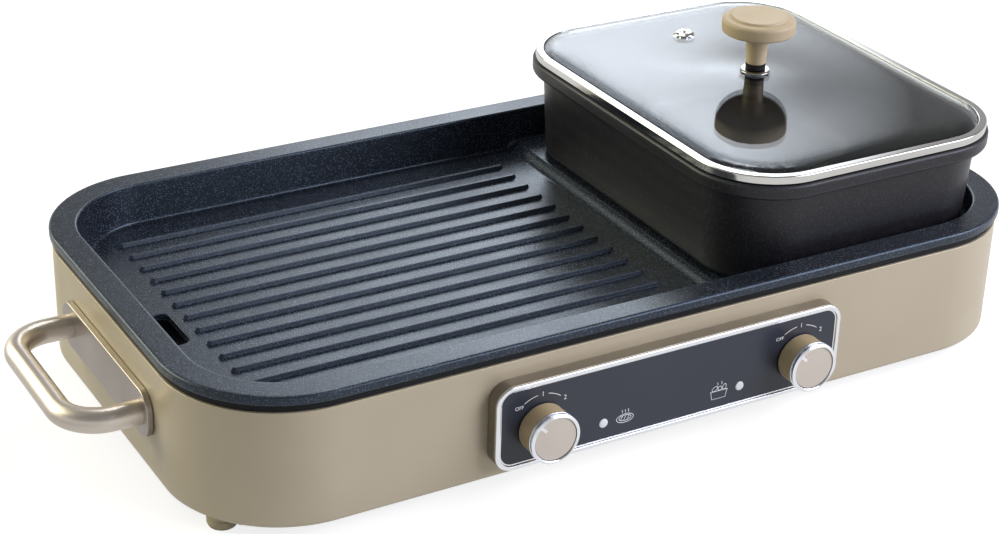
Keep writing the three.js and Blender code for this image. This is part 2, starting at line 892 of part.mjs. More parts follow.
/** One end handle, built facing up and then turned to its end wall. */
function handleGroup(end, along) {
  const frame = {
    halfLength: handle.plateLength / 2,
    halfDepth: handle.plateHeight / 2,
    radius: handle.plateRadius,
  };
  const plateTop = gap + handle.plateThickness;
  const barFrom = plateTop + gap;
  const half = handle.spread / 2;
  const places = [-half, half];
  const plateHoles = places.map((x) =>
    moved(rod(handleScrew.radius + gap, 0, plateTop + overrun), x, 0),
  );
  const backing = cut(
    roundedLoft(frame, [
      [0, gap],
      [0, plateTop - handle.plateChamfer],
      [handle.plateChamfer, plateTop],
    ]),
    plateHoles,
  );
  const turns = [
    [-half, barFrom],
    [-half, handle.reach],
    [half, handle.reach],
    [half, barFrom],
  ].map(([x, out]) => new THREE.Vector3(x, 0, out));
  const bores = places.map((x) =>
    moved(rod(handleScrew.radius + gap, barFrom - overrun, barFrom + handleScrew.grip + gap), x, 0),
  );
  const path = route(turns, [handle.bend, handle.bend]);
  const bar = cut(tube(path, handle.radius, tubeSides, barSteps), bores);
  const screwLength = base.wall + gap + barFrom + handleScrew.grip;
  const screws = places.map((x) =>
    piece(
      `handle_screw_${end}_${x * along < 0 ? "front" : "back"}`,
      moved(screw(handleScrew, screwLength), x, 0, -base.wall - gap),
      steel,
    ),
  );
  const group = groupAt(along * shellEnd, 0, handleHeight, [
    piece(`handle_plate_${end}`, backing, satinNickel),
    piece(`handle_bar_${end}`, bar, satinNickel),
    ...screws,
  ]);
  group.rotation.set(Math.PI / 2, 0, 0);
  group.rotation.order = "ZYX";
  group.rotation.z = (along * Math.PI) / 2;
  return group;
}

/** Rubber gland of the power cord in the back wall, its thin web closed but for a pilot hole. */
function cordGland() {
  const inner = -base.wall - gap - gland.lip;
  const neck = gland.radius;
  const outer = gap + gland.lip;
  const profile = [
    [gland.pilot, inner],
    [neck + gland.flange / 2, inner],
    [neck + gland.flange / 2, -base.wall - gap],
    [neck, -base.wall - gap],
    [neck, gap],
    [neck + gland.flange, gap],
    [neck + gland.flange, outer],
    [neck - gap, outer],
    [gland.pilot, outer - gland.dish],
    [gland.pilot, inner],
  ];
  const mesh = piece("cord_gland", facing(turned(profile, tubeSides)), blackPlastic);
  mesh.position.set(gland.offset, shellSide, gland.height);
  mesh.rotation.z = Math.PI;
  return mesh;
}

/** Terminal block on the cover behind the gland. */
function terminalBlock() {
  const under = coverTop + gap;
  const box = moved(
    new THREE.BoxGeometry(terminal.length, terminal.depth, terminal.height),
    0,
    0,
    terminal.height / 2,
  );
  const notches = [-1, 0, 1].map((step) =>
    moved(
      new THREE.BoxGeometry(terminal.notch, terminal.depth + overrun, terminal.notchDepth),
      (step * terminal.length) / 3,
      0,
      terminal.height,
    ),
  );
  const mesh = piece("terminal_block", cut(box, notches), blackPlastic);
  mesh.position.set(gland.offset, shellSide - base.wall - terminal.setback, under);
  return mesh;
}

/** Pot with its thick flange, built about its own centre. */
function potBody() {
  const bodyInset = pot.flangeWidth;
  const footInset = potGrowth;
  const outside = roundedLoft(potFrame, [
    ...lowerRound(footInset, potUnder, pot.footRound),
    [bodyInset, flangeUnder],
    ...lowerRound(0, flangeUnder, pot.flangeRound),
    ...upperRound(0, potTop, pot.flangeRound),
  ]);
  const inside = roundedLoft(potFrame, [
    ...lowerRound(footInset + pot.wall, potUnder + pot.floor, pot.footRound),
    [bodyInset + pot.wall, flangeUnder],
    [bodyInset + pot.wall, potTop + overrun],
  ]);
  return cut(outside, [inside]);
}

const domeShares = [0, 0.2, 0.45, 0.7, 1];
const ringInnerInset = lid.ringInset + lid.ringWidth;
const glassInset = lid.ringInset + lid.ringSheet + gap;

const crownInset = potFrame.radius * lid.crownShare;
const ventPlace = potFrame.halfDepth - crownInset - vent.flange - vent.crownGap;

/** Levels of the glass dome, from its edge to its crown, lowered by drop. */
function domeLevels(drop) {
  const span = crownInset - ringInnerInset;
  return domeShares.map((share) => [
    ringInnerInset + span * share,
    glassEdgeTop + lid.dome * Math.sin((share * Math.PI) / 2) - drop,
  ]);
}

/** Tempered glass of the lid, with holes for the vent and the knob's screw. */
function lidGlass() {
  const dome = roundedLoft(potFrame, [
    [glassInset, glassUnder],
    [glassInset, glassEdgeTop],
    ...domeLevels(0),
  ]);
  const under = roundedLoft(potFrame, [
    [ringInnerInset, glassUnder - overrun],
    ...domeLevels(lid.glass),
  ]);
  const through = (radius) => rod(radius, glassUnder, glassTop + overrun);
  return cut(dome, [
    under,
    moved(through(vent.stem + gap), 0, ventPlace),
    through(grip.screwRadius + gap),
  ]);
}

/** Bright ring folded round the glass edge. */
function lidRing() {
  const ring = roundedLoft(potFrame, [
    [lid.ringInset + lid.ringSheet, ringUnder],
    [lid.ringInset, ringUnder + lid.ringSheet],
    ...upperRound(lid.ringInset, ringTop, lid.ringRound),
  ]);
  const mouth = roundedPrism(potFrame, ringInnerInset, ringUnder - overrun, ringTop + overrun);
  const groove = roundedPrism(potFrame, glassInset - gap, glassUnder - gap, glassEdgeTop + gap);
  return cut(ring, [mouth, groove]);
}

/** Steam vent, an eyelet through the glass. */
function lidVent() {
  const top = glassTop + gap;
  const under = glassTop - lid.glass - gap;
  const round = vent.flangeHeight / 2;
  return turned(
    [
      [vent.bore, under - vent.flangeHeight],
      [vent.flange - round, under - vent.flangeHeight],
      [vent.flange, under - round],
      [vent.flange, under],
      [vent.stem, under],
      [vent.stem, top],
      [vent.flange, top],
      [vent.flange, top + round],
      [vent.flange - round, top + vent.flangeHeight],
      [vent.bore, top + vent.flangeHeight],
      [vent.bore, under - vent.flangeHeight],
    ],
    tubeSides,
  );
}

/** Lid knob: a tapered stem under a wide disc with a second tier. */
function lidKnob() {
  const discUnder = gripUnder + grip.stemHeight;
  const discTop = discUnder + grip.discHeight;
  const top = discTop + grip.tierHeight;
  const round = grip.discRound;
  const boreEnd = gripUnder + grip.screwDepth + gap;
  return turned([
    [0, boreEnd],
    [grip.screwRadius + gap, boreEnd],
    [grip.screwRadius + gap, gripUnder],
    [grip.stemFoot, gripUnder],
    [grip.stemTop, discUnder - round],
    [grip.stemTop + round, discUnder],
    [grip.discRadius - round, discUnder],
    [grip.discRadius - round / 4, discUnder + round / 4],
    [grip.discRadius, discUnder + round],
    [grip.discRadius, discTop - round],
    [grip.discRadius - round / 4, discTop - round / 4],
    [grip.discRadius - round, discTop],
    [grip.tierRadius, discTop],
    [grip.tierRadius - grip.tierHeight / 2, top],
    [0, top],
  ]);
}

/** A flat ring under the knob that the screw passes through. */
function spacer(radius, from, to) {
  const bore = grip.screwRadius + gap;
  return turned([[bore, from], [radius, from], [radius, to], [bore, to], [bore, from]]);
}

/** Screw that holds the knob from under the glass. */
function lidKnobScrew() {
  const headTop = glassTop - lid.glass - gap;
  return turned(
    [
      [0, headTop - grip.screwHeadHeight],
      [grip.screwHead - grip.screwHeadHeight / 2, headTop - grip.screwHeadHeight],
      [grip.screwHead, headTop],
      [grip.screwRadius, headTop],
      [grip.screwRadius, gripUnder + grip.screwDepth],
      [0, gripUnder + grip.screwDepth],
    ],
    pinSides,
  );
}

const [cupGeometry, cupPlace] = dripCup();

const feet = corners.map(([name, alongX, alongY]) => {
  const mesh = piece(`foot_${name}`, footBody(), rubber);
  mesh.position.x = alongX * (plateFrame.halfLength - foot.endInset);
  mesh.position.y = alongY * (plateFrame.halfDepth - foot.sideInset);
  return mesh;
});
const coverScrews = corners.map(([name, alongX, alongY]) => {
  const mesh = piece(`cover_screw_${name}`, screw(coverScrew, coverScrew.length), steel);
  mesh.position.set(...bossPlace(alongX, alongY), base.clearance);
  return mesh;
});
const grillRails = ends.map(([end], index) => {
  const mesh = piece(`grill_heater_rail_${end}`, heaterRail(heater.grillReach), aluminised);
  const left = heater.endInset + heater.innerInset - plateFrame.halfLength;
  const right = rampFoot - heater.rampGap - heater.innerInset;
  mesh.position.x = left + ((right - left) * (1 + 2 * index)) / 4;
  return mesh;
});
const potRails = ends.map(([end, along]) => {
  const mesh = piece(`pot_heater_rail_${end}`, heaterRail(heater.potReach), aluminised);
  mesh.position.x = potCentre + (along * potFrame.halfLength) / 3;
  return mesh;
});
const cup = piece("drip_cup", cupGeometry, aluminised);
cup.position.set(cupPlace, -slot.offset, 0);

const lidVentMesh = piece("lid_vent", lidVent(), stainless);
lidVentMesh.position.y = ventPlace;
const potAndLid = groupAt(potCentre, 0, 0, [
  piece("pot", potBody(), potCoat),
  piece("lid_glass", lidGlass(), clearGlass),
  piece("lid_ring", lidRing(), stainless),
  lidVentMesh,
  piece("lid_seat", spacer(grip.seatRadius, seatUnder, washerUnder - gap), stainless),
  piece("lid_washer", spacer(grip.washerRadius, washerUnder, gripUnder - gap), darkSilicone),
  piece("lid_knob", lidKnob(), beigePlastic),
  piece("lid_knob_screw", lidKnobScrew(), steel),
]);

const appliance = groupAt(0, (frontReach - plateFrame.halfDepth) / 2, 0, [
  piece("base_shell", baseShell(), paint),
  piece("bottom_cover", bottomCover(), blackPlastic),
  ...feet,
  ...coverScrews,
  piece("plate_collar", plateCollar(), darkSilicone),
  piece("heat_shield", heatShield(), aluminised),
  piece("grill_heater", grillHeater(), heaterMetal),
  piece("pot_heater", potHeater(), heaterMetal),
  ...grillRails,
  ...potRails,
  cup,
  cordGland(),
  terminalBlock(),
  ...ends.map(([end, along]) => handleGroup(end, along)),
  controlPanel(),
  piece("grill_plate", grillPlate(), nonStick),
  potAndLid,
]);

const model = new THREE.Group();
model.add(appliance);

export default model;
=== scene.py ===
"""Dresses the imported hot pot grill: smooth shells, fine fittings, finishes, camera and lamps.

Lengths are in millimetres until a mesh is finished, and every piece stays where its CAD node is. A profile
is a row of corners, each with its inset (or its place across), its height and the radius of its round.
"""

import json
import logging
import math
from abc import ABC, abstractmethod
from collections.abc import Iterable, Sequence
from dataclasses import dataclass
from enum import Enum
from functools import cache

import bmesh
import bpy
from bmesh.types import BMEdge, BMesh, BMFace, BMVert
from mathutils import Matrix, Vector

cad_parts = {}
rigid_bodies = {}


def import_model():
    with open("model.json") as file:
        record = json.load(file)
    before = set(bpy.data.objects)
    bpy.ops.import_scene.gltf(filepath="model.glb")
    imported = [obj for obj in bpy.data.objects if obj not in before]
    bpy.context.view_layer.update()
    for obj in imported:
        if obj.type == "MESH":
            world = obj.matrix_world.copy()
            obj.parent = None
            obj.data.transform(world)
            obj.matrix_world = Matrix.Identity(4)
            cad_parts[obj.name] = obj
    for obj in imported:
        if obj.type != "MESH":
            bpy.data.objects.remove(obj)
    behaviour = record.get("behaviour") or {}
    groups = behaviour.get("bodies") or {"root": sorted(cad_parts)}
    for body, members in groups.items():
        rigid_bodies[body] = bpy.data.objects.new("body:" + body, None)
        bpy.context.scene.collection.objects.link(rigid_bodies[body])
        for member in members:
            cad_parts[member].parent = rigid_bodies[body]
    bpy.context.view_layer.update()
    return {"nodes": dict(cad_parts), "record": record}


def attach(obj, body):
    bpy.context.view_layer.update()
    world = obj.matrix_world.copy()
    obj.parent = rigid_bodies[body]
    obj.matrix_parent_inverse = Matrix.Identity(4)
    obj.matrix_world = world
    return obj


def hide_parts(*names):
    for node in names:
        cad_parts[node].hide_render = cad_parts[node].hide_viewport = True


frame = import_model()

MM = 0.001
FINE = 1e-4
NEAR = 0.01
GAP = 0.3
SUPPORT = 1.2
CREASE = math.radians(32)
HERE = Matrix()
WHITE = (1, 1, 1, 1)
NOISE_SPAN = (0.3, 0.7)
SLOW_SHARE = 0.4
Point = tuple[float, float]
Trio = tuple[float, float, float]
Tint = tuple[int, int, int]
Socket = bpy.types.NodeSocket
Wire = Socket | float | Sequence[float]
log = logging.getLogger("hot_pot_grill")


def linear(tint: Tint) -> tuple[float, float, float, float]:
    """A screen colour, 0 to 255, as the linear colour that shaders take."""
    shares = [part / 255 for part in tint]
    return (*[s / 12.92 if s <= 0.04045 else ((s + 0.055) / 1.055) ** 2.4 for s in shares], 1.0)


def shifted(x: float, y: float, z: float = 0.0) -> Matrix:
    """A move by three lengths."""
    return Matrix.Translation(Vector((x, y, z)))


def spun(degrees: float, axis: str) -> Matrix:
    """A turn about an axis."""
    return Matrix.Rotation(math.radians(degrees), 4, axis)


def only(items: Iterable, kind: type) -> list:
    """The items of one kind."""
    return [item for item in items if isinstance(item, kind)]


def rounded(corners: Sequence[Trio], steps: int = 5, closed: bool = False) -> list[Point]:
    """Rounds the corners of a profile.

    Args:
        corners: across, up and radius of each corner, in order.
        steps: straight steps in each round.
        closed: whether the last corner leads back to the first.

    Returns:
        The profile's points, with an arc at each corner that has a radius.
    """
    points: list[Point] = []
    spots = [Vector((across, up, 0)) for across, up, _ in corners]
    for index, (across, up, radius) in enumerate(corners):
        at_end = index in (0, len(corners) - 1)
        if not radius or (at_end and not closed):
            points.append((across, up))
            continue
        here = spots[index]
        before = (spots[index - 1] - here).normalized()
        after = (spots[(index + 1) % len(spots)] - here).normalized()
        half = before.angle(after) / 2
        reach = radius / math.tan(half)
        centre = here + (before + after).normalized() * radius / math.sin(half)
        start = here + before * reach - centre
        end = here + after * reach - centre
        for step in range(steps + 1):
            at = centre + start.slerp(end, step / steps).normalized() * radius
            points.append((at.x, at.y))
    return points


def supported(profile: Sequence[Point], closed: bool = False) -> list[Point]:
    """Adds points near the ends of a profile's long straights, so that the painted edge highlight and wear
    stay at the edges.

    Args:
        profile: the profile's points.
        closed: whether its last point leads back to its first.

    Returns:
        The profile with its added points.
    """
    points: list[Point] = []
    ends = list(profile[1:]) + ([profile[0]] if closed else [])
    for start, end in zip(profile, ends):
        points.append(start)
        length = math.dist(start, end)
        if length < 3 * SUPPORT:
            continue
        share = SUPPORT / length
        for part in (share, 1 - share):
            points.append(tuple(a + (b - a) * part for a, b in zip(start, end)))
    return points if closed else [*points, profile[-1]]


@dataclass(frozen=True)
class Outline:
    """A rounded rectangle seen from above."""

    half_length: float
    half_depth: float
    radius: float
    centre: Point = (0.0, 0.0)


class Slab:
    """A rounded-rectangle body that grows ring by ring from one bevelled face."""

    def __init__(self, outline: Outline, start: Point, corner_steps: int = 24) -> None:
        """Lays the first face.

        Args:
            outline: the rounded rectangle that insets are measured from.
            start: inset and height of the first face.
            corner_steps: straight steps in each corner.
        """
        self.inset, self.height = start
        self.bm = bmesh.new()
        bmesh.ops.create_grid(self.bm, x_segments=1, y_segments=1, size=1.0)
        reach = (outline.half_length - self.inset, outline.half_depth - self.inset, 1)
        bmesh.ops.scale(self.bm, vec=reach, verts=self.bm.verts)
        bmesh.ops.bevel(
            self.bm, geom=self.bm.verts[:], offset=outline.radius - self.inset, segments=corner_steps,
            profile=0.5, affect="VERTICES", material=-1,
        )
        bmesh.ops.translate(self.bm, vec=(*outline.centre, self.height), verts=self.bm.verts)
        self.face = self.bm.faces[:][0]
        self.rings: list[list[BMFace]] = []

    def follow(self, profile: Iterable[Point]) -> "Slab":
        """Grows one ring to each inset and height of the profile.

        Args:
            profile: the insets and heights, in order.

        Returns:
            The slab itself.
        """
        for inset, height in profile:
            made = bmesh.ops.inset_region(
                self.bm, faces=[self.face], thickness=inset - self.inset, depth=height - self.height,
                use_even_offset=True, use_boundary=True,
            )
            self.rings.append(made["faces"])
            self.inset, self.height = inset, height
        return self

    def open_edges(self) -> list[BMEdge]:
        """The edges that lie on one face only."""
        return [edge for edge in self.bm.edges if edge.is_boundary]

    def closed(self) -> BMesh:
        """Fills the first loop.

        Returns:
            The closed body.
        """
        first_loop = self.open_edges()
        bmesh.ops.holes_fill(self.bm, edges=first_loop, sides=len(first_loop))
        bmesh.ops.recalc_face_normals(self.bm, faces=self.bm.faces)
        return self.bm

    def ring(self) -> BMesh:
        """Bridges the last loop to the first.

        Returns:
            The body as an open frame.
        """
        bmesh.ops.delete(self.bm, geom=[self.face], context="FACES_ONLY")
        bmesh.ops.bridge_loops(self.bm, edges=self.open_edges())
        bmesh.ops.recalc_face_normals(self.bm, faces=self.bm.faces)
        return self.bm


def slab(outline: Outline, corners: Sequence[Trio], steps: int = 5, corner_steps: int = 24) -> BMesh:
    """A closed body grown through a profile with rounded corners."""
    profile = supported(rounded(corners, steps))
    return Slab(outline, profile[0], corner_steps).follow(profile[1:]).closed()


def hoop(outline: Outline, corners: Sequence[Trio]) -> BMesh:
    """An open frame whose section is a closed profile with rounded corners."""
    profile = supported(rounded(corners, closed=True), closed=True)
    return Slab(outline, profile[0]).follow(profile[1:]).ring()


def turned(corners: Sequence[Trio], steps: int = 4, sides: int = 48, closed: bool = False) -> BMesh:
    """A body turned about Z.

    Args:
        corners: radius, height and rounding of each corner of its profile.
        steps: straight steps in each round.
        sides: flats around the body.
        closed: whether the profile closes on itself, as that of a ring does.

    Returns:
        The body, in millimetres.
    """
    bm = bmesh.new()
    profile = supported(rounded(corners, steps, closed), closed)
    verts = [bm.verts.new((across, 0, up)) for across, up in profile]
    edges = [bm.edges.new(pair) for pair in zip(verts, verts[1:] + verts[:1] if closed else verts[1:])]
    bmesh.ops.spin(
        bm, geom=verts + edges, cent=(0, 0, 0), axis=(0, 0, 1), dvec=(0, 0, 0), angle=math.tau,
        steps=sides, use_merge=True,
    )
    bmesh.ops.remove_doubles(bm, verts=bm.verts, dist=FINE)
    bmesh.ops.recalc_face_normals(bm, faces=bm.faces)
    return bm


def rod(radius: float, span: Point, sides: int, spot: Point) -> BMesh:
    """A plain cutter that stands at a spot, over a span of heights."""
    corners = [(0, span[0], 0), (radius, span[0], 0), (radius, span[1], 0), (0, span[1], 0)]
    return placed(turned(corners, sides=sides), shifted(*spot))


def piped(path: Sequence[Vector], bends: Sequence[float], radius: float, sides: int) -> BMesh:
    """A round bar drawn along straights and bends.

    Args:
        path: the corners of its centre line, with both ends.
        bends: the bend radius at each corner between the ends.
        radius: the bar's radius.
        sides: flats around the bar.

    Returns:
        The closed bar.
    """
    bm = bmesh.new()
    here = path[0]
    facing = (path[1] - here).normalized().to_track_quat("Z", "Y").to_matrix().to_4x4()
    place = Matrix.Translation(here) @ facing
    bmesh.ops.create_circle(bm, cap_ends=False, segments=sides, radius=radius, matrix=place)
    loop = bm.edges[:]
    for corner, beyond, bend in zip(path[1:], [*path[2:], None], [*bends, 0.0]):
        heading = (corner - here).normalized()
        turn = heading.angle(beyond - corner) if beyond else 0.0
        short = bend * math.tan(turn / 2)
        made = bmesh.ops.extrude_edge_only(bm, edges=loop)["geom"]
        moved = only(made, BMVert)
        loop = [edge for edge in only(made, BMEdge) if all(vert in moved for vert in edge.verts)]
        step = corner - heading * short - here
        bmesh.ops.translate(bm, vec=step, verts=moved)
        if not beyond:
            break
        leaving = (beyond - corner).normalized()
        inward = (leaving - heading * leaving.dot(heading)).normalized()
        made = bmesh.ops.spin(
            bm, geom=loop + moved, cent=here + step + inward * bend, dvec=(0, 0, 0), angle=turn,
            axis=heading.cross(leaving).normalized(), steps=max(4, round(turn * 8)), use_merge=False,
        )["geom_last"]
        loop = only(made, BMEdge)
        here = corner + leaving * short
    bmesh.ops.holes_fill(bm, edges=[edge for edge in bm.edges if edge.is_boundary], sides=sides)
    bmesh.ops.recalc_face_normals(bm, faces=bm.faces)
    return bm


def block(low: Sequence[float], high: Sequence[float], bevel: float) -> BMesh:
    """A box between two corners, with its edges rounded.

    Args:
        low: the corner with the least values.
        high: the corner across from it.
        bevel: the width of the rounds.

    Returns:
        The box.
    """
    bm = bmesh.new()
    bmesh.ops.create_cube(bm, size=1.0)
    bmesh.ops.scale(bm, vec=[h - l for l, h in zip(low, high)], verts=bm.verts)
    bmesh.ops.translate(bm, vec=[(h + l) / 2 for l, h in zip(low, high)], verts=bm.verts)
    bmesh.ops.bevel(
        bm, geom=bm.edges[:], offset=bevel, segments=2, profile=0.5, affect="EDGES", material=-1,
    )
    return bm


def split(bm: BMesh, geom: Sequence, cuts: Iterable[tuple[int, float]]) -> Sequence:
    """Splits geometry by upright planes.

    Args:
        bm: the mesh.
        geom: the vertices, edges and faces to split.
        cuts: the axis (0 or 1) and the place of each plane.

    Returns:
        All the split geometry.
    """
    for axis, place in cuts:
        normal = Vector((1 - axis, axis, 0))
        made = bmesh.ops.bisect_plane(bm, geom=geom, dist=FINE, plane_co=normal * place, plane_no=normal)
        geom = made["geom"]
    return geom


def loose_object(name: str, data: BMesh | bpy.types.Curve) -> bpy.types.Object:
    """Makes a linked object.

    Args:
        name: its name.
        data: a curve, or a bmesh, which is turned into a mesh and freed.

    Returns:
        The object.
    """
    if isinstance(data, BMesh):
        mesh = bpy.data.meshes.new(name)
        data.to_mesh(mesh)
        data.free()
        data = mesh
    thing = bpy.data.objects.new(name, data)
    bpy.context.scene.collection.objects.link(thing)
    return thing


def drop(thing: bpy.types.Object) -> None:
    """Removes a working object with its data."""
    bpy.data.batch_remove([thing, thing.data])


def carved(body: BMesh, tools: Sequence[BMesh]) -> BMesh:
    """Cuts tools out of a body, and frees them all.

    Args:
        body: what is cut.
        tools: the shapes that are cut out of it.

    Returns:
        The cut body.
    """
    things = [loose_object("carving", body)]
    for tool in tools:
        things.append(loose_object("tool", tool))
        modifier = things[0].modifiers.new("cut", "BOOLEAN")
        modifier.object = things[-1]
        modifier.operation = "DIFFERENCE"
        modifier.solver = "EXACT"
    result = bmesh.new()
    result.from_object(things[0], bpy.context.evaluated_depsgraph_get())
    for thing in things:
        drop(thing)
    bmesh.ops.dissolve_degenerate(result, edges=result.edges, dist=FINE)
    return result


def merged(parts: Sequence[BMesh]) -> BMesh:
    """Joins parts, and frees them.

    Args:
        parts: the bmeshes to join.

    Returns:
        One bmesh that holds them all.
    """
    whole = bmesh.new()
    for part in parts:
        mesh = bpy.data.meshes.new("part")
        part.to_mesh(mesh)
        part.free()
        whole.from_mesh(mesh)
        bpy.data.meshes.remove(mesh)
    return whole


def placed(bm: BMesh, place: Matrix) -> BMesh:
    """The bmesh moved by a matrix, in millimetres."""
    bmesh.ops.transform(bm, matrix=place, verts=bm.verts)
    return bm


class Bench:
    """Places nodes in a tree and wires them."""

    def __init__(self, owner: bpy.types.ID) -> None:
        """Empties a tree to start on.

        Args:
            owner: a node group, or the material, world or lamp whose tree it is.
        """
        if not isinstance(owner, bpy.types.NodeTree):
            owner.use_nodes = True
            owner = owner.node_tree
        self.tree = owner
        self.tree.nodes.clear()

    def add(self, kind: str, wires: dict | None = None, **settings: object) -> bpy.types.Node:
        """Adds a node.

        Args:
            kind: the node's type, without its ShaderNode prefix.
            wires: a value or an output socket for each named or numbered input.
            settings: the node's own properties.

        Returns:
            The node.
        """
        node = self.tree.nodes.new(kind if kind.startswith("Node") else f"ShaderNode{kind}")
        for name, value in settings.items():
            setattr(node, name, value)
        for name, value in (wires or {}).items():
            if isinstance(value, Socket):
                self.tree.links.new(value, node.inputs[name])
            else:
                node.inputs[name].default_value = value
        return node

    def math(self, operation: str, *terms: Wire) -> Socket:
        """The result of a Math node on up to three terms."""
        return self.add("Math", dict(enumerate(terms)), operation=operation).outputs[0]

    def mix(self, share: Wire, first: Wire, second: Wire) -> Socket:
        """The colour between two colours."""
        return self.add("Mix", {0: share, 6: first, 7: second}, data_type="RGBA").outputs[2]

    def pick(self, share: Wire, first: Wire, second: Wire) -> Socket:
        """The value between two values."""
        return self.add("Mix", {0: share, 2: first, 3: second}, data_type="FLOAT").outputs[0]

    def between(
        self, value: Wire, low: float, high: float, to_low: float = 0.0, to_high: float = 1.0,
    ) -> Socket:
        """A value mapped from one range to another, and held there."""
        return self.add("MapRange", dict(enumerate((value, low, high, to_low, to_high)))).outputs[0]

    def place(self) -> Socket:
        """Where the shaded point lies on its object."""
        return self.add("TexCoord").outputs["Object"]

    def axes(self, vector: Socket) -> Sequence[Socket]:
        """The three parts of a vector."""
        return self.add("SeparateXYZ", {0: vector}).outputs

    def noise(self, place: Socket, scale: Wire, detail: float, roughness: float = 0.5) -> Socket:
        """Soft noise at a place."""
        wires = {"Vector": place, "Scale": scale, "Detail": detail, "Roughness": roughness}
        return self.add("TexNoise", wires).outputs[0]


class Effect(Enum):
    """The surface effects that finishes share: each one's node group and its inputs.

    The method with an effect's own name wires it.
    """

    GRAIN = ("fine_grain", {"Scale": 1500.0})
    FLECKS = ("flecks", {"Share": 0.3, "Scale": 1150.0})
    MOTTLE = ("mottle", {"Scale": 18.0})
    BRUSHING = ("brushing", {"Along": 30.0, "Across": 2500.0})
    # Recolours convex edges by pointiness: a painted edge highlight, and edge wear.
    WEAR = ("edge_highlight_and_wear_mask", {"Reach": 0.05})

    def on(self, bench: Bench, *values: float) -> Socket:
        """Places the effect with its own values, and gives its output."""
        return bench.add("Group", dict(enumerate(values)), node_tree=self.group()).outputs[0]

    @cache
    def group(self) -> bpy.types.NodeTree:
        """Makes the effect's node group at its first use.

        Returns:
            The group, with its input sockets and its Value output.
        """
        name, inputs = self.value
        tree = bpy.data.node_groups.new(name, "ShaderNodeTree")
        for title, value in inputs.items():
            socket = tree.interface.new_socket(title, in_out="INPUT", socket_type="NodeSocketFloat")
            socket.default_value = value
        tree.interface.new_socket("Value", in_out="OUTPUT", socket_type="NodeSocketFloat")
        bench = Bench(tree)
        given = bench.add("NodeGroupInput").outputs[:len(inputs)]
        bench.add("NodeGroupOutput", {"Value": getattr(self, self.name.lower())(bench, *given)})
        return tree

    def grain(self, bench: Bench, scale: Socket) -> Socket:
        """The fine, even roughness of a coating."""
        return bench.noise(bench.place(), scale, 3.0, 0.6)

    def flecks(self, bench: Bench, share: Socket, scale: Socket) -> Socket:
        """Small pale specks.

        Args:
            bench: the bench on the group's tree.
            share: the share of the cells that have one.
            scale: how fine the cells are.

        Returns:
            How strongly they show.
        """
        cells = bench.add("TexVoronoi", {"Vector": bench.place(), "Scale": scale}).outputs
        near = bench.between(cells["Distance"], 0.15, 0.5, 1.0, 0.0)
        lot = bench.add("SeparateColor", {0: cells["Color"]}).outputs[0]
        return bench.math("MULTIPLY", near, bench.math("LESS_THAN", lot, share))

    def mottle(self, bench: Bench, scale: Socket) -> Socket:
        """Slow changes over a large surface."""
        return bench.between(bench.noise(bench.place(), scale, 2.0), *NOISE_SPAN)

    def brushing(self, bench: Bench, along: Socket, across: Socket) -> Socket:
        """Fine lines that run along Y.

        Args:
            bench: the bench on the group's tree.
            along: how fine they are along Y.
            across: how fine they are across it.

        Returns:
            Their height.
        """
        scales = bench.add("CombineXYZ", {0: across, 1: along, 2: across}).outputs[0]
        drawn = bench.add("VectorMath", {0: bench.place(), 1: scales}, operation="MULTIPLY").outputs[0]
        return bench.noise(drawn, 1.0, 3.0)

    def wear(self, bench: Bench, reach: Socket) -> Socket:
        """Convex edges that stand out: a painted highlight along them, and wear where hands and cloths rub.
        """
        rise = bench.math("SUBTRACT", bench.add("NewGeometry").outputs["Pointiness"], 0.5)
        return bench.between(bench.math("DIVIDE", rise, reach), 0.1, 1.0)


class Cover(ABC):
    """Something that covers a piece, and makes its material once."""

    name: str

    @abstractmethod
    def shader(self, bench: Bench) -> bpy.types.Node:
        """Wires the shader on the material's bench."""

    @cache
    def build(self) -> bpy.types.Material:
        """Makes the material at its first use.

        Returns:
            The material.
        """
        material = bpy.data.materials.new(f"{self.name}_finish")
        bench = Bench(material)
        bench.add("OutputMaterial", {"Surface": self.shader(bench).outputs[0]})
        return material


@dataclass(frozen=True)
class Finish(Cover):
    """An opaque finish: colour, sheen and fine relief."""

    name: str
    tint: Tint
    shade: Tint
    roughness: Point
    metallic: float = 0.0
    grain: float = 1500.0
    relief: float = 0.02
    fleck: Tint | None = None
    fleck_share: float = 0.3
    # The edge colour and its share: a painted highlight along convex edges, and wear.
    worn: Tint | None = None
    wear: float = 0.3
    brushed: bool = False
    coat: float = 0.0
    specular: float = 0.5
    glint: Tint = (255, 255, 255)

    def shader(self, bench: Bench) -> bpy.types.Node:
        """Wires the finish's shader.

        Args:
            bench: the bench on the material's tree.

        Returns:
            The shader's node.
        """
        fine = Effect.BRUSHING.on(bench) if self.brushed else Effect.GRAIN.on(bench, self.grain)
        blend = bench.pick(SLOW_SHARE, fine, Effect.MOTTLE.on(bench))
        colour = bench.mix(bench.between(blend, *NOISE_SPAN), linear(self.tint), linear(self.shade))
        if self.fleck:
            colour = bench.mix(Effect.FLECKS.on(bench, self.fleck_share), colour, linear(self.fleck))
        # Painted highlight and wear: convex edges move towards the edge colour.
        if self.worn:
            highlit_and_rubbed = bench.math("MULTIPLY", Effect.WEAR.on(bench), self.wear)
            colour = bench.mix(highlit_and_rubbed, colour, linear(self.worn))
        bump = bench.add("Bump", {"Strength": 0.6, "Distance": self.relief * MM, "Height": fine})
        return bench.add("BsdfPrincipled", {
            "Base Color": colour,
            "Roughness": bench.between(blend, *NOISE_SPAN, *self.roughness),
            "Normal": bump.outputs[0],
            "Metallic": self.metallic,
            "Coat Weight": self.coat,
            "Coat Roughness": 0.15,
            "Specular IOR Level": self.specular,
            "Specular Tint": linear(self.glint),
        })


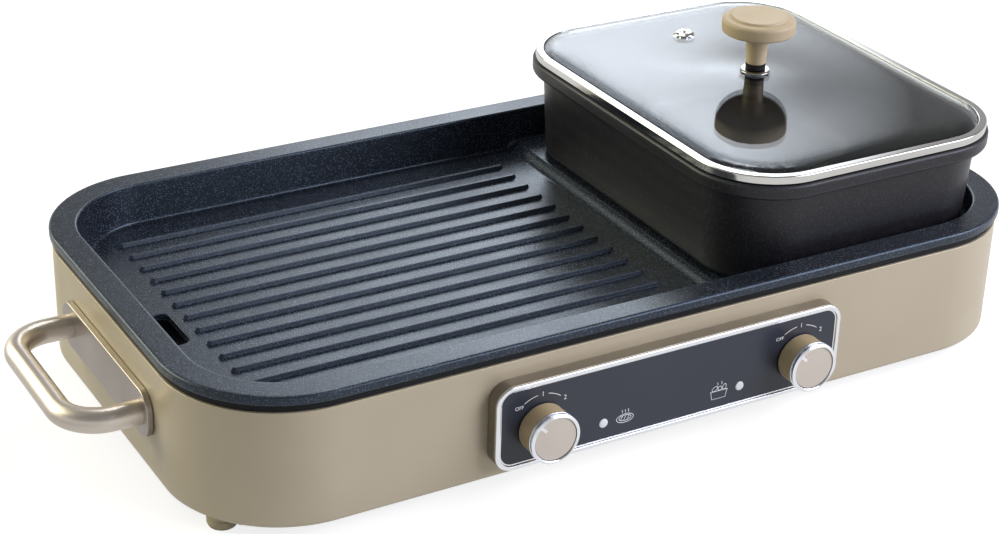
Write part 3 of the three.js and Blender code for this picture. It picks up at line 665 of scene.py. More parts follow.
@dataclass(frozen=True)
class GlassFinish(Cover):
    """Clear tempered glass that lets lamp light through to what it covers."""

    name: str
    tint: Tint
    smear: Point = (9.0, 0.15)
    roughness: Point = (0.01, 0.02)
    shadow_pass: float = 0.85
    bending: float = 1.26

    def shader(self, bench: Bench) -> bpy.types.Node:
        """Wires the glass shader.

        Args:
            bench: the bench on the material's tree.

        Returns:
            The shader's node.
        """
        scale, share = self.smear
        smear = Effect.MOTTLE.on(bench, scale)
        shadow = bench.add("LightPath").outputs["Is Shadow Ray"]
        return bench.add("BsdfPrincipled", {
            "Base Color": bench.mix(bench.math("MULTIPLY", smear, share), linear(self.tint), WHITE),
            "Roughness": bench.between(smear, 0.0, 1.0, *self.roughness),
            "Alpha": bench.math("MULTIPLY_ADD", shadow, -self.shadow_pass, 1.0),
            "Metallic": 0.0,
            "Transmission Weight": 1.0,
            "IOR": self.bending,
        })


PAINT = Finish(
    "champagne_paint", (196, 184, 160), (191, 179, 155), (0.36, 0.46), metallic=0.3, grain=2600.0,
    relief=0.006,
)
SATIN_NICKEL = Finish(
    "satin_nickel", (220, 210, 199), (212, 202, 191), (0.32, 0.38), metallic=0.95, grain=3200.0,
    relief=0.006, worn=(226, 216, 204), wear=0.2,
)
NICKEL_PLATE = Finish(
    "satin_nickel_plate", (170, 162, 154), (162, 154, 146), (0.3, 0.38), metallic=0.95, grain=3200.0,
    relief=0.006, worn=(214, 206, 196),
)
# Its pale edge colour paints thin highlights along the ribs' crests and the rim's edges.
NON_STICK = Finish(
    "non_stick_slate", (25, 29, 37), (19, 22, 29), (0.22, 0.32), relief=0.12, fleck=(100, 111, 130),
    fleck_share=0.4, worn=(104, 112, 124), glint=(206, 232, 255),
)
# Its pale edge colour paints a thin highlight along the flange's edges.
POT_COAT = Finish(
    "pot_coating", (28, 27, 31), (23, 23, 27), (0.34, 0.44), relief=0.12, fleck=(64, 67, 76),
    worn=(92, 97, 108), wear=0.4, specular=0.4,
)
SILICONE = Finish("dark_silicone", (15, 17, 21), (12, 14, 18), (0.55, 0.7), specular=0.25)
PANEL_PAINT = Finish(
    "panel_paint", (132, 125, 109), (124, 117, 101), (0.34, 0.44), metallic=0.4, grain=2600.0,
    relief=0.006, worn=(176, 166, 146),
)
CHROME = Finish(
    "bright_trim", (236, 238, 242), (230, 233, 238), (0.2, 0.24), metallic=1.0, grain=2200.0, relief=0.0,
)
SLATE_FACE = Finish("panel_slate", (46, 51, 64), (41, 46, 58), (0.3, 0.4), grain=2600.0, relief=0.004)
LAMP_LENS = Finish(
    "lamp_lens", (250, 250, 250), (244, 245, 246), (0.2, 0.3), grain=900.0, relief=0.004, coat=0.4,
)
INK = Finish("white_ink", (252, 252, 252), (246, 247, 248), (0.4, 0.5), grain=4000.0, relief=0.004)
# Its edge colour is darker than its tint, so its edges come out darker.
KNOB_SIDE = Finish(
    "champagne_metal", (212, 190, 146), (202, 180, 137), (0.36, 0.46), metallic=0.15, grain=3000.0,
    relief=0.006, worn=(170, 154, 124), wear=0.2,
)
KNOB_FACE = Finish(
    "knob_face", (212, 203, 190), (205, 196, 183), (0.3, 0.4), metallic=0.45, grain=3000.0, relief=0.005,
)
STAINLESS = Finish(
    "stainless", (206, 205, 202), (198, 197, 194), (0.1, 0.14), metallic=1.0, grain=2600.0, relief=0.003,
)
BEIGE = Finish(
    "beige_plastic", (196, 177, 143), (190, 171, 138), (0.42, 0.54), grain=2000.0, relief=0.015,
    worn=(212, 198, 168), wear=0.25,
)
RUBBER = Finish("rubber_feet", (206, 192, 162), (196, 182, 152), (0.75, 0.9), grain=1300.0, relief=0.03)
BLACK_SHEET = Finish(
    "black_sheet", (34, 35, 38), (29, 30, 33), (0.5, 0.65), metallic=0.1, worn=(74, 76, 80),
)
BLACK_PLASTIC = Finish(
    "black_plastic", (31, 32, 35), (26, 27, 30), (0.5, 0.65), grain=1200.0, relief=0.03,
    worn=(60, 62, 66), wear=0.25,
)
ALUMINISED = Finish(
    "aluminised_sheet", (186, 188, 191), (168, 171, 175), (0.24, 0.42), metallic=0.95, brushed=True,
    relief=0.01, worn=(214, 216, 220),
)
ZINC = Finish(
    "zinc_steel", (164, 167, 172), (148, 150, 154), (0.28, 0.42), metallic=0.95, grain=1800.0,
    relief=0.01, worn=(198, 200, 204), wear=0.4,
)
HEATED = Finish(
    "heater_metal", (92, 84, 76), (70, 64, 60), (0.42, 0.6), metallic=0.75, grain=900.0,
    worn=(128, 116, 102),
)
GLASS = GlassFinish("tempered_glass", (236, 242, 246))

STOCK_FINISHES = {finish.name: finish for finish in (
    PAINT, BLACK_SHEET, RUBBER, ZINC, SILICONE, ALUMINISED, HEATED, BLACK_PLASTIC, SATIN_NICKEL,
    PANEL_PAINT, CHROME, SLATE_FACE, LAMP_LENS, KNOB_SIDE, KNOB_FACE, NON_STICK, POT_COAT, GLASS,
    STAINLESS, BEIGE,
)}


def dressed(
    name: str, bm: BMesh, finish: Cover, body: str, *nodes: str, place: Matrix = HERE, even: bool = True,
) -> None:
    """Finishes a piece: puts it in place in metres, smooths it, and hands it to the frame.

    Args:
        name: the piece's name.
        bm: its mesh in millimetres.
        finish: what covers it.
        body: the body that it rides on.
        nodes: the CAD nodes that it stands for.
        place: where it goes, in millimetres.
        even: whether its flats are kept flat in shading.
    """
    placed(bm, place)
    bmesh.ops.scale(bm, vec=(MM, MM, MM), verts=bm.verts)
    for face in bm.faces:
        face.smooth = True
    for edge in bm.edges:
        edge.smooth = len(edge.link_faces) == 2 and edge.calc_face_angle(math.pi) < CREASE
    thing = loose_object(name, bm)
    thing.data.materials.append(finish.build())
    if even:
        thing.modifiers.new("even_flats", "WEIGHTED_NORMAL").keep_sharp = True
    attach(thing, body)
    if nodes:
        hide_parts(*nodes)
    log.info("%s: %d faces, rides on %s", name, len(thing.data.polygons), body)


PLATE = Outline(300.0, 162.4, 77.0, (0.0, 13.15))
POT = Outline(112.65, 146.3, 54.3, (171.25, 13.15))
MIDDLE = PLATE.centre[1]
WALL_INSET = 1.5
FRONT = MIDDLE - PLATE.half_depth + WALL_INSET
ENDS = (("left", -1), ("right", 1))


@dataclass
class Base:
    """The painted shell with its collar, feet and cord gland."""

    under: float = 9.0
    top: float = 86.1
    wall: float = 1.6
    bead: float = 5.5
    mouth: float = 11.5
    ledge: float = 12.1
    collar: Point = (87.7, 90.9)
    collar_insets: Point = (2.6, 3.7)
    foot_radius: float = 9.35
    foot_place: Point = (277.0, 119.0)
    gland_place: Trio = (150.0, 174.05, 30.0)

    def build(self) -> None:
        """Builds and dresses every piece."""
        inner = WALL_INSET + self.wall
        lower = self.top - self.wall
        shell = hoop(PLATE, [
            (self.bead, self.under, 0.5), (WALL_INSET, self.under, 3.4), (WALL_INSET, self.top, 0.4),
            (self.mouth, self.top, 0.4), (self.mouth, lower, 0.2), (inner, lower, 0.6),
            (inner, self.ledge, 0.3), (self.bead, self.ledge, 0.2),
        ])
        dressed("shell", shell, PAINT, "base", "base_shell")
        low, high = self.collar
        outer, step = self.collar_insets
        skirt = self.top + GAP
        ring = hoop(PLATE, [
            (outer, skirt, 0.3), (outer, high, 0.9), (self.mouth, high, 0.3), (self.mouth, low, 0.3),
            (step, low, 0.2), (step, skirt, 0.3),
        ])
        dressed("collar", ring, SILICONE, "base", "plate_collar")
        self.feet()
        self.gland()

    def feet(self) -> None:
        """The four rubber feet, each with a groove above its tread."""
        radius = self.foot_radius
        groove = radius - 0.7
        across, along = self.foot_place
        for side, sign_y in (("front", -1), ("back", 1)):
            for end, sign_x in ENDS:
                foot = turned([
                    (0, 1.1, 0), (radius - 4, 1.1, 0.4), (radius - 3.2, 0, 0.4), (radius - 1, 0, 0.8),
                    (radius, 2.2, 0.8), (radius, 5.2, 0.3), (groove, 5.8, 0.3), (radius, 6.4, 0.3),
                    (radius, self.under, 0.2), (0, self.under, 0),
                ])
                name = f"foot_{side}_{end}"
                place = shifted(sign_x * across, sign_y * along + MIDDLE)
                dressed(f"{name}_pad", foot, RUBBER, "base", name, place=place)

    def gland(self) -> None:
        """The cord's rubber gland in the back wall."""
        ring = turned([
            (1.7, -3.1, 0.3), (7.5, -3.1, 0.5), (7.5, -1.9, 0.2), (6.0, -1.9, 0.2), (6.0, 0.3, 0.1),
            (9.0, 0.3, 0.2), (9.0, 1.5, 0.8), (5.4, 1.5, 0.4), (3.4, -0.2, 0.8), (1.7, -0.5, 0.3),
        ], closed=True)
        place = shifted(*self.gland_place) @ spun(-90, "X")
        dressed("gland", ring, BLACK_PLASTIC, "base", "cord_gland", place=place)


@dataclass
class HeatUnit:
    """The heat shield with the two heating tubes that lie in it.

    grill_span holds where its tube turns back, where its inner leg turns, and its right end, all along X.
    pot_span holds both ends of the other tube.
    """

    floor: float = 55.1
    sheet: float = 1.0
    rim_top: float = 87.4
    rim_insets: Point = (4.0, 12.3)
    tube_height: float = 63.4
    tube_radius: float = 3.3
    lead_end: float = 40.1
    lead_gap: float = 2.0
    hole_span: Point = (40.0, 60.0)
    bend: float = 16.0
    lead_bend: float = 7.0
    reach: float = 105.0
    grill_span: Trio = (-225.0, -180.0, 35.0)
    pot_span: Point = (90.0, 252.5)
    pot_lead: float = 25.0

    def build(self) -> None:
        """Builds and dresses every piece."""
        reach, near, lead = self.reach, self.reach / 3, self.pot_lead
        far, inner, right = self.grill_span
        start, end = self.pot_span
        leads = [(right, -reach), (right, -near), (start, -lead), (start, lead)]
        hole = self.tube_radius + self.lead_gap
        holes = [rod(hole, self.hole_span, 32, (x, y + MIDDLE)) for x, y in leads]
        dressed("shield_pan", carved(self.pan(), holes), ALUMINISED, "base", "heat_shield")
        self.tube("grill_heating_tube", "grill_heater", [
            (right, -reach), (far, -reach), (far, reach), (right, reach),
            (right, near), (inner, near), (inner, -near), (right, -near),
        ])
        self.tube("pot_heating_tube", "pot_heater", [
            (start, -lead), (start, -reach), (end, -reach), (end, reach), (start, reach), (start, lead),
        ])

    def pan(self) -> BMesh:
        """Grows the shield's sheet.

        Returns:
            Its floor, wall and turned-out rim in one body.
        """
        rim, wall = self.rim_insets
        middle = 70
        under = self.floor - self.sheet
        rim_under = self.rim_top - self.sheet
        return slab(PLATE, [
            (middle, under, 0), (wall, under, 2.2), (wall, rim_under, 0.4), (rim, rim_under, 0.2),
            (rim, self.rim_top, 0.4), (wall + self.sheet, self.rim_top, 0.8),
            (wall + self.sheet, self.floor, 2.2), (middle, self.floor, 0),
        ])

    def tube(self, name: str, node: str, turns: Sequence[Point]) -> None:
        """Builds and dresses one heating tube, both its ends led down.

        Args:
            name: the piece's name.
            node: the CAD node that it stands for.
            turns: where it turns, seen from above.
        """
        level = [Vector((x, y + MIDDLE, self.tube_height)) for x, y in turns]
        first, last = (Vector((end.x, end.y, self.lead_end)) for end in (level[0], level[-1]))
        bends = [self.lead_bend, *[self.bend] * (len(turns) - 2), self.lead_bend]
        bar = piped([first, *level, last], bends, self.tube_radius, sides=16)
        dressed(name, bar, HEATED, "base", node)


@dataclass
class GrillPlate:
    """The cast plate: rim, walls, ribbed well, ramp, platform and drain slot."""

    rim_top: float = 97.4
    rim_under: float = 91.2
    rim_width: float = 17.8
    foot_inset: float = 23.5
    well: float = 71.0
    under: float = 67.0
    rise: float = 5.0
    ramp: Point = (57.4, 67.2)
    ramp_steps: int = 12
    rib_count: int = 13
    rib_pitch: float = 18.4
    rib_foot: float = 2.5
    rib_height: float = 2.7
    rib_ends: Point = (-251.0, 40.0)
    rib_taper: float = 3.44
    slot: Outline = Outline(8.75, 20.75, 6.0, (-265.05, 5.15))
    slot_lead: float = 1.2
    well_rings: int = 11

    def build(self) -> None:
        """Builds and dresses the plate."""
        outer = supported(rounded([
            (60, self.under, 0), (20.5, self.under, 4), (15.9, self.rim_under, 1),
            (0, self.rim_under, 1.2), (0, self.rim_top, 1.8), (self.rim_width, self.rim_top, 1.6),
            (self.foot_inset, self.well, 2.2), (28, self.well, 0),
        ], steps=6))
        body = Slab(PLATE, outer[0]).follow(outer[1:])
        fillet = [face for ring in body.rings[-self.well_rings:] for face in ring]
        self.raise_platform(body.bm, [*fillet, body.face])
        self.press_ribs(body.bm)
        plate = carved(body.closed(), [self.slot_cutter()])
        dressed("ribbed_plate", plate, NON_STICK, "plate", "grill_plate")

    @staticmethod
    def all_of(faces: Iterable[BMFace]) -> list:
        """The faces with their edges and vertices."""
        return list(dict.fromkeys(item for face in faces for item in (face, *face.edges, *face.verts)))

    def raise_platform(self, bm: BMesh, faces: Sequence[BMFace]) -> None:
        """Lifts the well's right part to the pot's platform, over a ramp that eases in and out.

        Args:
            bm: the plate's mesh.
            faces: the well's floor and its fillet.
        """
        start, end = self.ramp
        steps = self.ramp_steps
        cuts = [(0, start + (end - start) * step / steps) for step in range(steps + 1)]
        for vert in only(split(bm, self.all_of(faces), cuts), BMVert):
            if vert.co.z > self.well + self.rise + 1:
                continue
            share = min(1.0, max(0.0, (vert.co.x - start) / (end - start)))
            vert.co.z += self.rise * share * share * (3 - 2 * share)

    def press_ribs(self, bm: BMesh) -> None:
        """Raises the ribs out of the well's floor, with pointed ends and filleted feet.

        Args:
            bm: the plate's mesh.
        """
        left, right = self.rib_ends
        half = (self.rib_count - 1) / 2
        middles = [(i - half) * self.rib_pitch + MIDDLE for i in range(self.rib_count)]
        floor = [
            face for face in bm.faces
            if face.normal.z > 1 - NEAR and self.on_floor(at := face.calc_center_median())
            and at.x < self.ramp[0]
        ]
        cuts = [(0, x) for x in (left, left + self.rib_taper, right - self.rib_taper, right)]
        cuts += [(1, y + sign * self.rib_foot) for y in middles for sign in (-1, 1)]
        split(bm, self.all_of(floor), cuts)
        for end in (left, right):
            for middle in middles:
                pair = [
                    vert for vert in bm.verts
                    if abs(vert.co.x - end) < NEAR and abs(abs(vert.co.y - middle) - self.rib_foot) < NEAR
                    and self.on_floor(vert.co)
                ]
                bmesh.ops.pointmerge(bm, verts=pair, merge_co=(end, middle, self.well))
        ribs = [
            face for face in bm.faces
            if self.on_floor(at := face.calc_center_median()) and left < at.x < right
            and min(abs(at.y - middle) for middle in middles) < self.rib_foot / 5
        ]
        height = self.rib_height
        section = rounded([(0, 0, 0), (0.5, 0, 0.35), (1.3, height, 0.5), (2.2, height, 0)], steps=4)
        for (inset, low), (inset_next, high) in zip(section, section[1:]):
            bmesh.ops.inset_region(
                bm, faces=ribs, thickness=inset_next - inset, depth=high - low, use_even_offset=True,
                use_boundary=True,
            )

    def on_floor(self, spot: Vector) -> bool:
        """Whether a point lies on the well's floor."""
        return abs(spot.z - self.well) < NEAR

    def slot_cutter(self) -> BMesh:
        """Grows the cutter for the drain slot.

        Returns:
            The cutter, with a soft lead-in.
        """
        lead = self.slot_lead
        return slab(self.slot, [
            (0, self.under - 5, 0), (0, self.well, lead), (-2 * lead, self.well + 0.02, 0),
            (-2 * lead, self.well + 2, 0),
        ], steps=8, corner_steps=12)


@dataclass
class HotPot:
    """The pot that stands on the platform."""

    under: float = 76.3
    top: float = 149.0
    flange_under: float = 139.2
    flange_width: float = 7.8
    foot_inset: float = 11.7
    wall: float = 3.0
    floor: float = 4.0

    def build(self) -> None:
        """Builds and dresses the pot."""
        inner = self.flange_width + self.wall
        middle = 50
        body = slab(POT, [
            (middle, self.under, 0), (self.foot_inset, self.under, 5),
            (self.flange_width, self.flange_under, 1.5), (0, self.flange_under, 2.4), (0, self.top, 1.8),
            (inner, self.top, 1.2), (self.foot_inset + self.wall, self.under + self.floor, 9),
            (middle, self.under + self.floor, 0),
        ], steps=8)
        dressed("pot_body", body, POT_COAT, "pot", "pot")


@dataclass
class Lid:
    """The glass lid with its bright ring, vent and knob."""

    ring: Point = (149.3, 155.3)
    ring_insets: Point = (1.8, 7.3)
    ring_lip: float = 0.75
    glass_inset: float = 2.8
    glass_under: float = 150.3
    glass: float = 4.0
    glass_bevel: float = 0.6
    crown_inset: float = 51.86
    crown_edge: float = 158.6
    crown_top: float = 162.0
    crown_step: float = 3.5
    dome_steps: int = 14
    brow: float = 4.5
    curve_radius: float = 364.0
    vent_offset: float = 86.4
    vent_bore: float = 4.0
    hole_span: Point = (140.0, 170.0)
    seat: Point = (162.3, 163.8)
    washer: Point = (164.1, 167.8)
    bore: float = 2.8
    knob: float = 168.1

    def build(self) -> None:
        """Builds and dresses every piece."""
        self.glass_pane()
        low, high = self.ring
        outer, inner = self.ring_insets
        held = self.glass_inset - GAP
        lip = self.ring_lip
        ring = hoop(POT, [
            (outer + 0.8, low, 0.3), (outer, low + 0.8, 0.5), (outer, high, 0.9), (inner, high, 0.5),
            (inner, high - 1.0, 0.2), (held, high - lip, 0.3), (held, low + lip, 0.2),
            (inner, low + lip, 0.2), (inner, low, 0.2),
        ])
        dressed("rim_ring", ring, STAINLESS, "lid", "lid_ring")
        self.fittings()

    def glass_pane(self) -> None:
        """Builds and dresses the domed pane, with holes for the vent and the knob's screw."""
        edge_top = self.glass_under + self.glass
        start = self.ring_insets[1]
        span = self.crown_inset - start
        rise = self.crown_edge - edge_top
        reaches = [span * (step / self.dome_steps) ** 2 for step in range(1, self.dome_steps)]
        dome = [(start + reach, edge_top + rise * (1 - math.exp(-reach / self.brow))) for reach in reaches]
        dome.append((self.crown_inset, self.crown_edge))
        below = [(inset, height - self.glass) for inset, height in reversed(dome)]
        side, bevel = self.glass_inset, self.glass_bevel
        pane = Slab(POT, below[0]).follow([
            *below[1:], (start, self.glass_under), (side + bevel, self.glass_under),
            (side, self.glass_under + bevel), (side, edge_top - bevel), (side + bevel, edge_top),
            (start, edge_top), *dome,
        ]).closed()
        self.crown(pane)
        x, y = POT.centre
        holes = [
            rod(radius, self.hole_span, 40, (x, y + offset))
            for radius, offset in ((self.vent_bore, self.vent_offset), (self.bore, 0.0))
        ]
        dressed("lid_pane", carved(pane, holes), GLASS, "lid", "lid_glass", even=False)

    def crown(self, bm: BMesh) -> None:
        """Arches the pane round its middle, where its curve has the set radius.

        Args:
            bm: the pane's mesh, which is first cut into a fine grid.
        """
        cuts = []
        for axis, half in enumerate((POT.half_length, POT.half_depth)):
            count = int((half - self.glass_inset) / self.crown_step)
            cuts += [(axis, POT.centre[axis] + i * self.crown_step) for i in range(-count, count + 1)]
        split(bm, [*bm.verts, *bm.edges, *bm.faces], cuts)
        height = self.crown_top - self.crown_edge
        spread = 2 * self.curve_radius * height
        for vert in bm.verts:
            away = math.dist(vert.co.xy, POT.centre)
            vert.co.z += height * math.exp(-away * away / spread)

    def fittings(self) -> None:
        """Builds and dresses the vent, and the knob with what it sits on."""
        centre = shifted(*POT.centre)
        top = self.crown_edge + GAP
        under = self.crown_edge - self.glass - 0.1
        vent = turned([
            (1.8, under - 1.6, 0.3), (7.0, under - 1.6, 0.5), (7.5, under, 0.4), (3.7, under, 0.2),
            (3.7, top, 0.1), (7.5, top, 0.3), (7.3, top + 1.0, 0.6), (5.2, top + 1.9, 0.8),
            (2.6, top + 1.7, 0.8), (1.8, top + 0.4, 0.4),
        ], steps=5, closed=True)
        place = centre @ shifted(0, self.vent_offset)
        dressed("vent_eyelet", vent, STAINLESS, "lid", "lid_vent", place=place)
        bore = self.bore
        low, high = self.seat
        seat = turned([
            (bore, low, 0.1), (10.5, low, 0.2), (10.5, low + 0.7, 0.3), (9.4, high, 0.5), (bore, high, 0.1),
        ], sides=64, closed=True)
        dressed("knob_seat", seat, STAINLESS, "lid", "lid_seat", place=centre)
        low, high = self.washer
        washer = turned([
            (bore, low, 0.1), (6.9, low, 0.4), (6.9, high, 0.4), (bore, high, 0.1),
        ], sides=64, closed=True)
        dressed("knob_washer", washer, SILICONE, "lid", "lid_washer", place=centre)
        foot = self.knob
        disc = foot + 22.4
        top = disc + 10
        crown = top + 1.7
        grip = turned([
            (0, foot + 14.3, 0), (bore, foot + 14.3, 0), (bore, foot, 0.2), (6.8, foot, 0.5),
            (8.1, disc - 1.0, 3.0), (10.5, disc, 1.5), (25.0, disc, 1.6), (25.0, top, 2.6),
            (20.6, top, 0.5), (19.6, top + 0.1, 0.3), (18.9, crown, 0.8), (0, crown, 0),
        ], steps=6, sides=96)
        dressed("lid_grip", grip, BEIGE, "lid", "lid_knob", place=centre)


@dataclass
class EndHandle:
    """A bent bar on its backing plate, at one end of the base."""

    end: str
    sign: int
    height: float = 50.55
    plate: Outline = Outline(72.0, 15.5, 12.0)
    thickness: float = 4.0
    radius: float = 7.8
    spread: float = 119.0
    reach: float = 45.5
    bend: float = 25.0

    def build(self) -> None:
        """Builds and dresses both pieces."""
        turn = spun(self.sign * 90, "Z") @ spun(90, "X")
        place = shifted(self.sign * (PLATE.half_length - WALL_INSET), MIDDLE, self.height) @ turn
        top = GAP + self.thickness
        middle = 8
        backing = slab(self.plate, [(middle, GAP, 0), (0, GAP, 0.4), (0, top, 0.8), (middle, top, 0)])
        half = self.spread / 2
        path = [(-half, top - 0.1), (-half, self.reach), (half, self.reach), (half, top - 0.1)]
        bar = piped([Vector((x, 0, z)) for x, z in path], [self.bend] * 2, self.radius, sides=48)
        for name, bm, finish, node in (
            ("backing", backing, NICKEL_PLATE, "plate"), ("grip", bar, SATIN_NICKEL, "bar"),
        ):
            dressed(f"handle_{name}_{self.end}", bm, finish, "base", f"handle_{node}_{self.end}", place=place)


PANEL_PLACE = shifted(0, FRONT, 46.55) @ spun(90, "X")


@dataclass
class ControlPanel:
    """Housing, bright ring, dark face and lamps.

    lamp_flange holds the radius of a lens's flange, and the heights that it lies between.
    """

    outline: Outline = Outline(125.0, 28.35, 12.0)
    housing_front: float = 8.8
    trim_back: float = 9.1
    trim_front: float = 10.8
    trim_width: float = 3.9
    face_front: float = 9.7
    knob_drop: float = 3.25
    knob_spread: float = 94.0
    lamp_spread: float = 50.0
    lamp_drop: float = 13.35
    lamp_radius: float = 3.05
    lamp_gap: float = 0.05
    well_span: Point = (8.0, 12.0)
    lamp_flange: Trio = (3.6, 4.0, 6.5)

    def build(self) -> None:
        """Builds and dresses every piece."""
        back, front, face, width = self.trim_back, self.trim_front, self.face_front, self.trim_width
        housing = slab(self.outline, [
            (10, GAP, 0), (0, GAP, 0.3), (0, self.housing_front, 0.9), (10, self.housing_front, 0),
        ])
        dressed("panel_case", housing, PANEL_PAINT, "base", "panel_housing", place=PANEL_PLACE)
        ring = hoop(self.outline, [
            (0, back, 0.2), (0, front, 0.8), (width - 1.2, front, 0.5), (width - 0.7, face, 0.2),
            (width, face, 0.1), (width, back, 0.1),
        ])
        dressed("panel_ring", ring, CHROME, "base", "panel_trim_ring", place=PANEL_PLACE)
        inset = width + GAP
        middle = inset + 6
        sheet = slab(self.outline, [
            (middle, back, 0), (inset, back, 0), (inset, face, 0.15), (middle, face, 0),
        ])
        spots = [(sign * self.lamp_spread, -self.lamp_drop) for _, sign in ENDS]
        wells = [rod(self.lamp_radius + self.lamp_gap, self.well_span, 48, spot) for spot in spots]
        dressed("panel_front", carved(sheet, wells), SLATE_FACE, "base", "panel_face", place=PANEL_PLACE)
        radius, (flange, low, high) = self.lamp_radius, self.lamp_flange
        for (end, _), spot in zip(ENDS, spots):
            lens = turned([
                (0, low, 0), (flange, low, 0.2), (flange, high, 0.2), (radius, high, 0.1),
                (radius, face + 0.5, 0.5), (0, face + 0.9, 0),
            ])
            place = PANEL_PLACE @ shifted(*spot)
            dressed(f"lamp_lens_{end}", lens, LAMP_LENS, "base", f"lamp_{end}", place=place)


@dataclass
class Printing:
    """White marks on the panel's face: two scales and two generic signs."""

    panel: ControlPanel
    radius: float = 21.7
    line: float = 0.42
    thickness: float = 0.05
    word_size: float = 3.4
    figure_size: float = 4.4
    off_angle: float = -44.0
    figure_angles: Point = (1.5, 46.0)
    arc_spans: tuple[Point, Point] = ((-33.5, -7.5), (11.5, 36.0))
    arc_steps: int = 10
    oval_steps: int = 16
    sign_place: Point = (34.5, -13.2)

    def build(self) -> None:
        """Builds and dresses each group of marks."""
        for end, sign in ENDS:
            self.lay(f"scale_{end}", self.scale(), (sign * self.panel.knob_spread, -self.panel.knob_drop))
        across, up = self.sign_place
        self.lay("grill_sign", self.grill_sign(), (-across, up))
        self.lay("pot_sign", self.pot_sign(), (across, up))

    def lay(self, name: str, parts: Sequence[BMesh], spot: Point) -> None:
        """Lays marks on the face about a spot, as one piece."""
        place = PANEL_PLACE @ shifted(*spot, self.panel.face_front)
        dressed(name, merged(parts), INK, "base", place=place, even=False)

    def word(self, text: str, size: float, angle: float, reach: float) -> BMesh:
        """Generic lettering.

        Args:
            text: what it says.
            size: the letters' size.
            angle: where its middle stands, in degrees from the top of its scale.
            reach: how far that is from the scale's centre.

        Returns:
            The letters' mesh.
        """
        curve = bpy.data.curves.new("word", "FONT")
        curve.body = text
        curve.size = size
        curve.extrude = self.thickness
        curve.align_x = "CENTER"
        curve.align_y = "CENTER"
        curve.resolution_u = 4
        turn = math.radians(angle)
        return placed(self.from_curve(curve), shifted(math.sin(turn) * reach, math.cos(turn) * reach))

    @staticmethod
    def from_curve(curve: bpy.types.Curve) -> BMesh:
        """Turns a curve into a mesh.

        Args:
            curve: the curve, which is removed.

        Returns:
            Its mesh.
        """
        thing = loose_object("curve", curve)
        mesh = bpy.data.meshes.new_from_object(thing.evaluated_get(bpy.context.evaluated_depsgraph_get()))
        bm = bmesh.new()
        bm.from_mesh(mesh)
        bpy.data.meshes.remove(mesh)
        drop(thing)
        bmesh.ops.remove_doubles(bm, verts=bm.verts, dist=FINE)
        return bm

    def stroke(self, points: Sequence[Point], smooth: bool = True, closed: bool = False) -> BMesh:
        """A thin drawn line.

        Args:
            points: the points that lead it.
            smooth: whether it bends softly past them.
            closed: whether its ends meet.

        Returns:
            The line's mesh.
        """
        curve = bpy.data.curves.new("stroke", "CURVE")
        curve.dimensions = "3D"
        curve.bevel_depth = self.line / 2
        curve.bevel_resolution = 2
        curve.use_fill_caps = not closed
        spline = curve.splines.new("NURBS" if smooth else "POLY")
        spline.points.add(len(points) - 1)
        for spot, (x, y) in zip(spline.points, points):
            spot.co = (x, y, 0, 1)
        spline.use_cyclic_u = closed
        spline.use_endpoint_u = smooth
        if smooth:
            spline.order_u = 3
            spline.resolution_u = 4
        bm = self.from_curve(curve)
        bmesh.ops.scale(bm, vec=(1, 1, 2 * self.thickness / self.line), verts=bm.verts)
        return bm

    def arc(self, start: float, end: float) -> BMesh:
        """A stretch of a scale's circle.

        Args:
            start: the angle that it starts at, in degrees from the top.
            end: the angle that it ends at.

        Returns:
            The line's mesh.
        """
        steps = self.arc_steps
        turns = [math.radians(start + (end - start) * step / steps) for step in range(steps + 1)]
        return self.stroke([(self.radius * math.sin(turn), self.radius * math.cos(turn)) for turn in turns])

    def scale(self) -> list[BMesh]:
        """Draws the marks round a knob.

        Returns:
            The marks' meshes.
        """
        first, second = self.figure_angles
        return [
            self.word("OFF", self.word_size, self.off_angle, self.radius + 0.4),
            self.word("1", self.figure_size, first, self.radius),
            self.word("2", self.figure_size, second, self.radius + 0.6),
            *[self.arc(*span) for span in self.arc_spans],
        ]

    def oval(self, x: float, y: float, half_x: float, half_y: float, tilt: float = 0.0) -> BMesh:
        """A drawn oval.

        Args:
            x: its centre, across.
            y: its centre, up.
            half_x: half its width.
            half_y: half its height.
            tilt: the angle that it leans by, in radians.

        Returns:
            The line's mesh.
        """
        turns = [math.tau * step / self.oval_steps for step in range(self.oval_steps)]
        lean = Matrix.Rotation(tilt, 2)
        spots = [lean @ Vector((half_x * math.cos(turn), half_y * math.sin(turn))) for turn in turns]
        return self.stroke([(x + spot.x, y + spot.y) for spot in spots], closed=True)

    def steam(self, x: float, y: float, height: float) -> BMesh:
        """A small curl of steam."""
        return self.stroke([
            (x, y), (x + 0.5, y + height * 0.3), (x - 0.4, y + height * 0.65), (x + 0.2, y + height),
        ])

    def grill_sign(self) -> list[BMesh]:
        """Draws a plate with a slice on it, and steam.

        Returns:
            The marks' meshes.
        """
        return [
            self.oval(0, -0.6, 6.2, 3.0),
            self.oval(0, -0.4, 4.4, 1.9),
            *[self.stroke([(k * 2.4 - 0.8, -1.7), (k * 2.4 + 0.6, 0.9)]) for k in (-1, 0, 1)],
            *[self.steam(k * 2.2, 3.2, 2.4) for k in (-1, 0, 1)],
        ]

    def pot_sign(self) -> list[BMesh]:
        """Draws an open pot with food standing out of it, and steam.

        Returns:
            The marks' meshes.
        """
        return [
            self.stroke([(-6, 0.2), (-5, -5), (5, -5), (6, 0.2)], smooth=False),
            self.stroke([(-6.6, 0.4), (6.6, 0.4)], smooth=False),
            self.oval(-3.1, 2.2, 2.3, 1.4, 0.5),
            self.oval(0.7, 2.0, 1.5, 1.4),
            self.oval(4.0, 2.4, 1.3, 2.0, -0.3),
            self.steam(-1.2, 4.4, 2.2),
            self.steam(1.8, 4.6, 2.2),
        ]


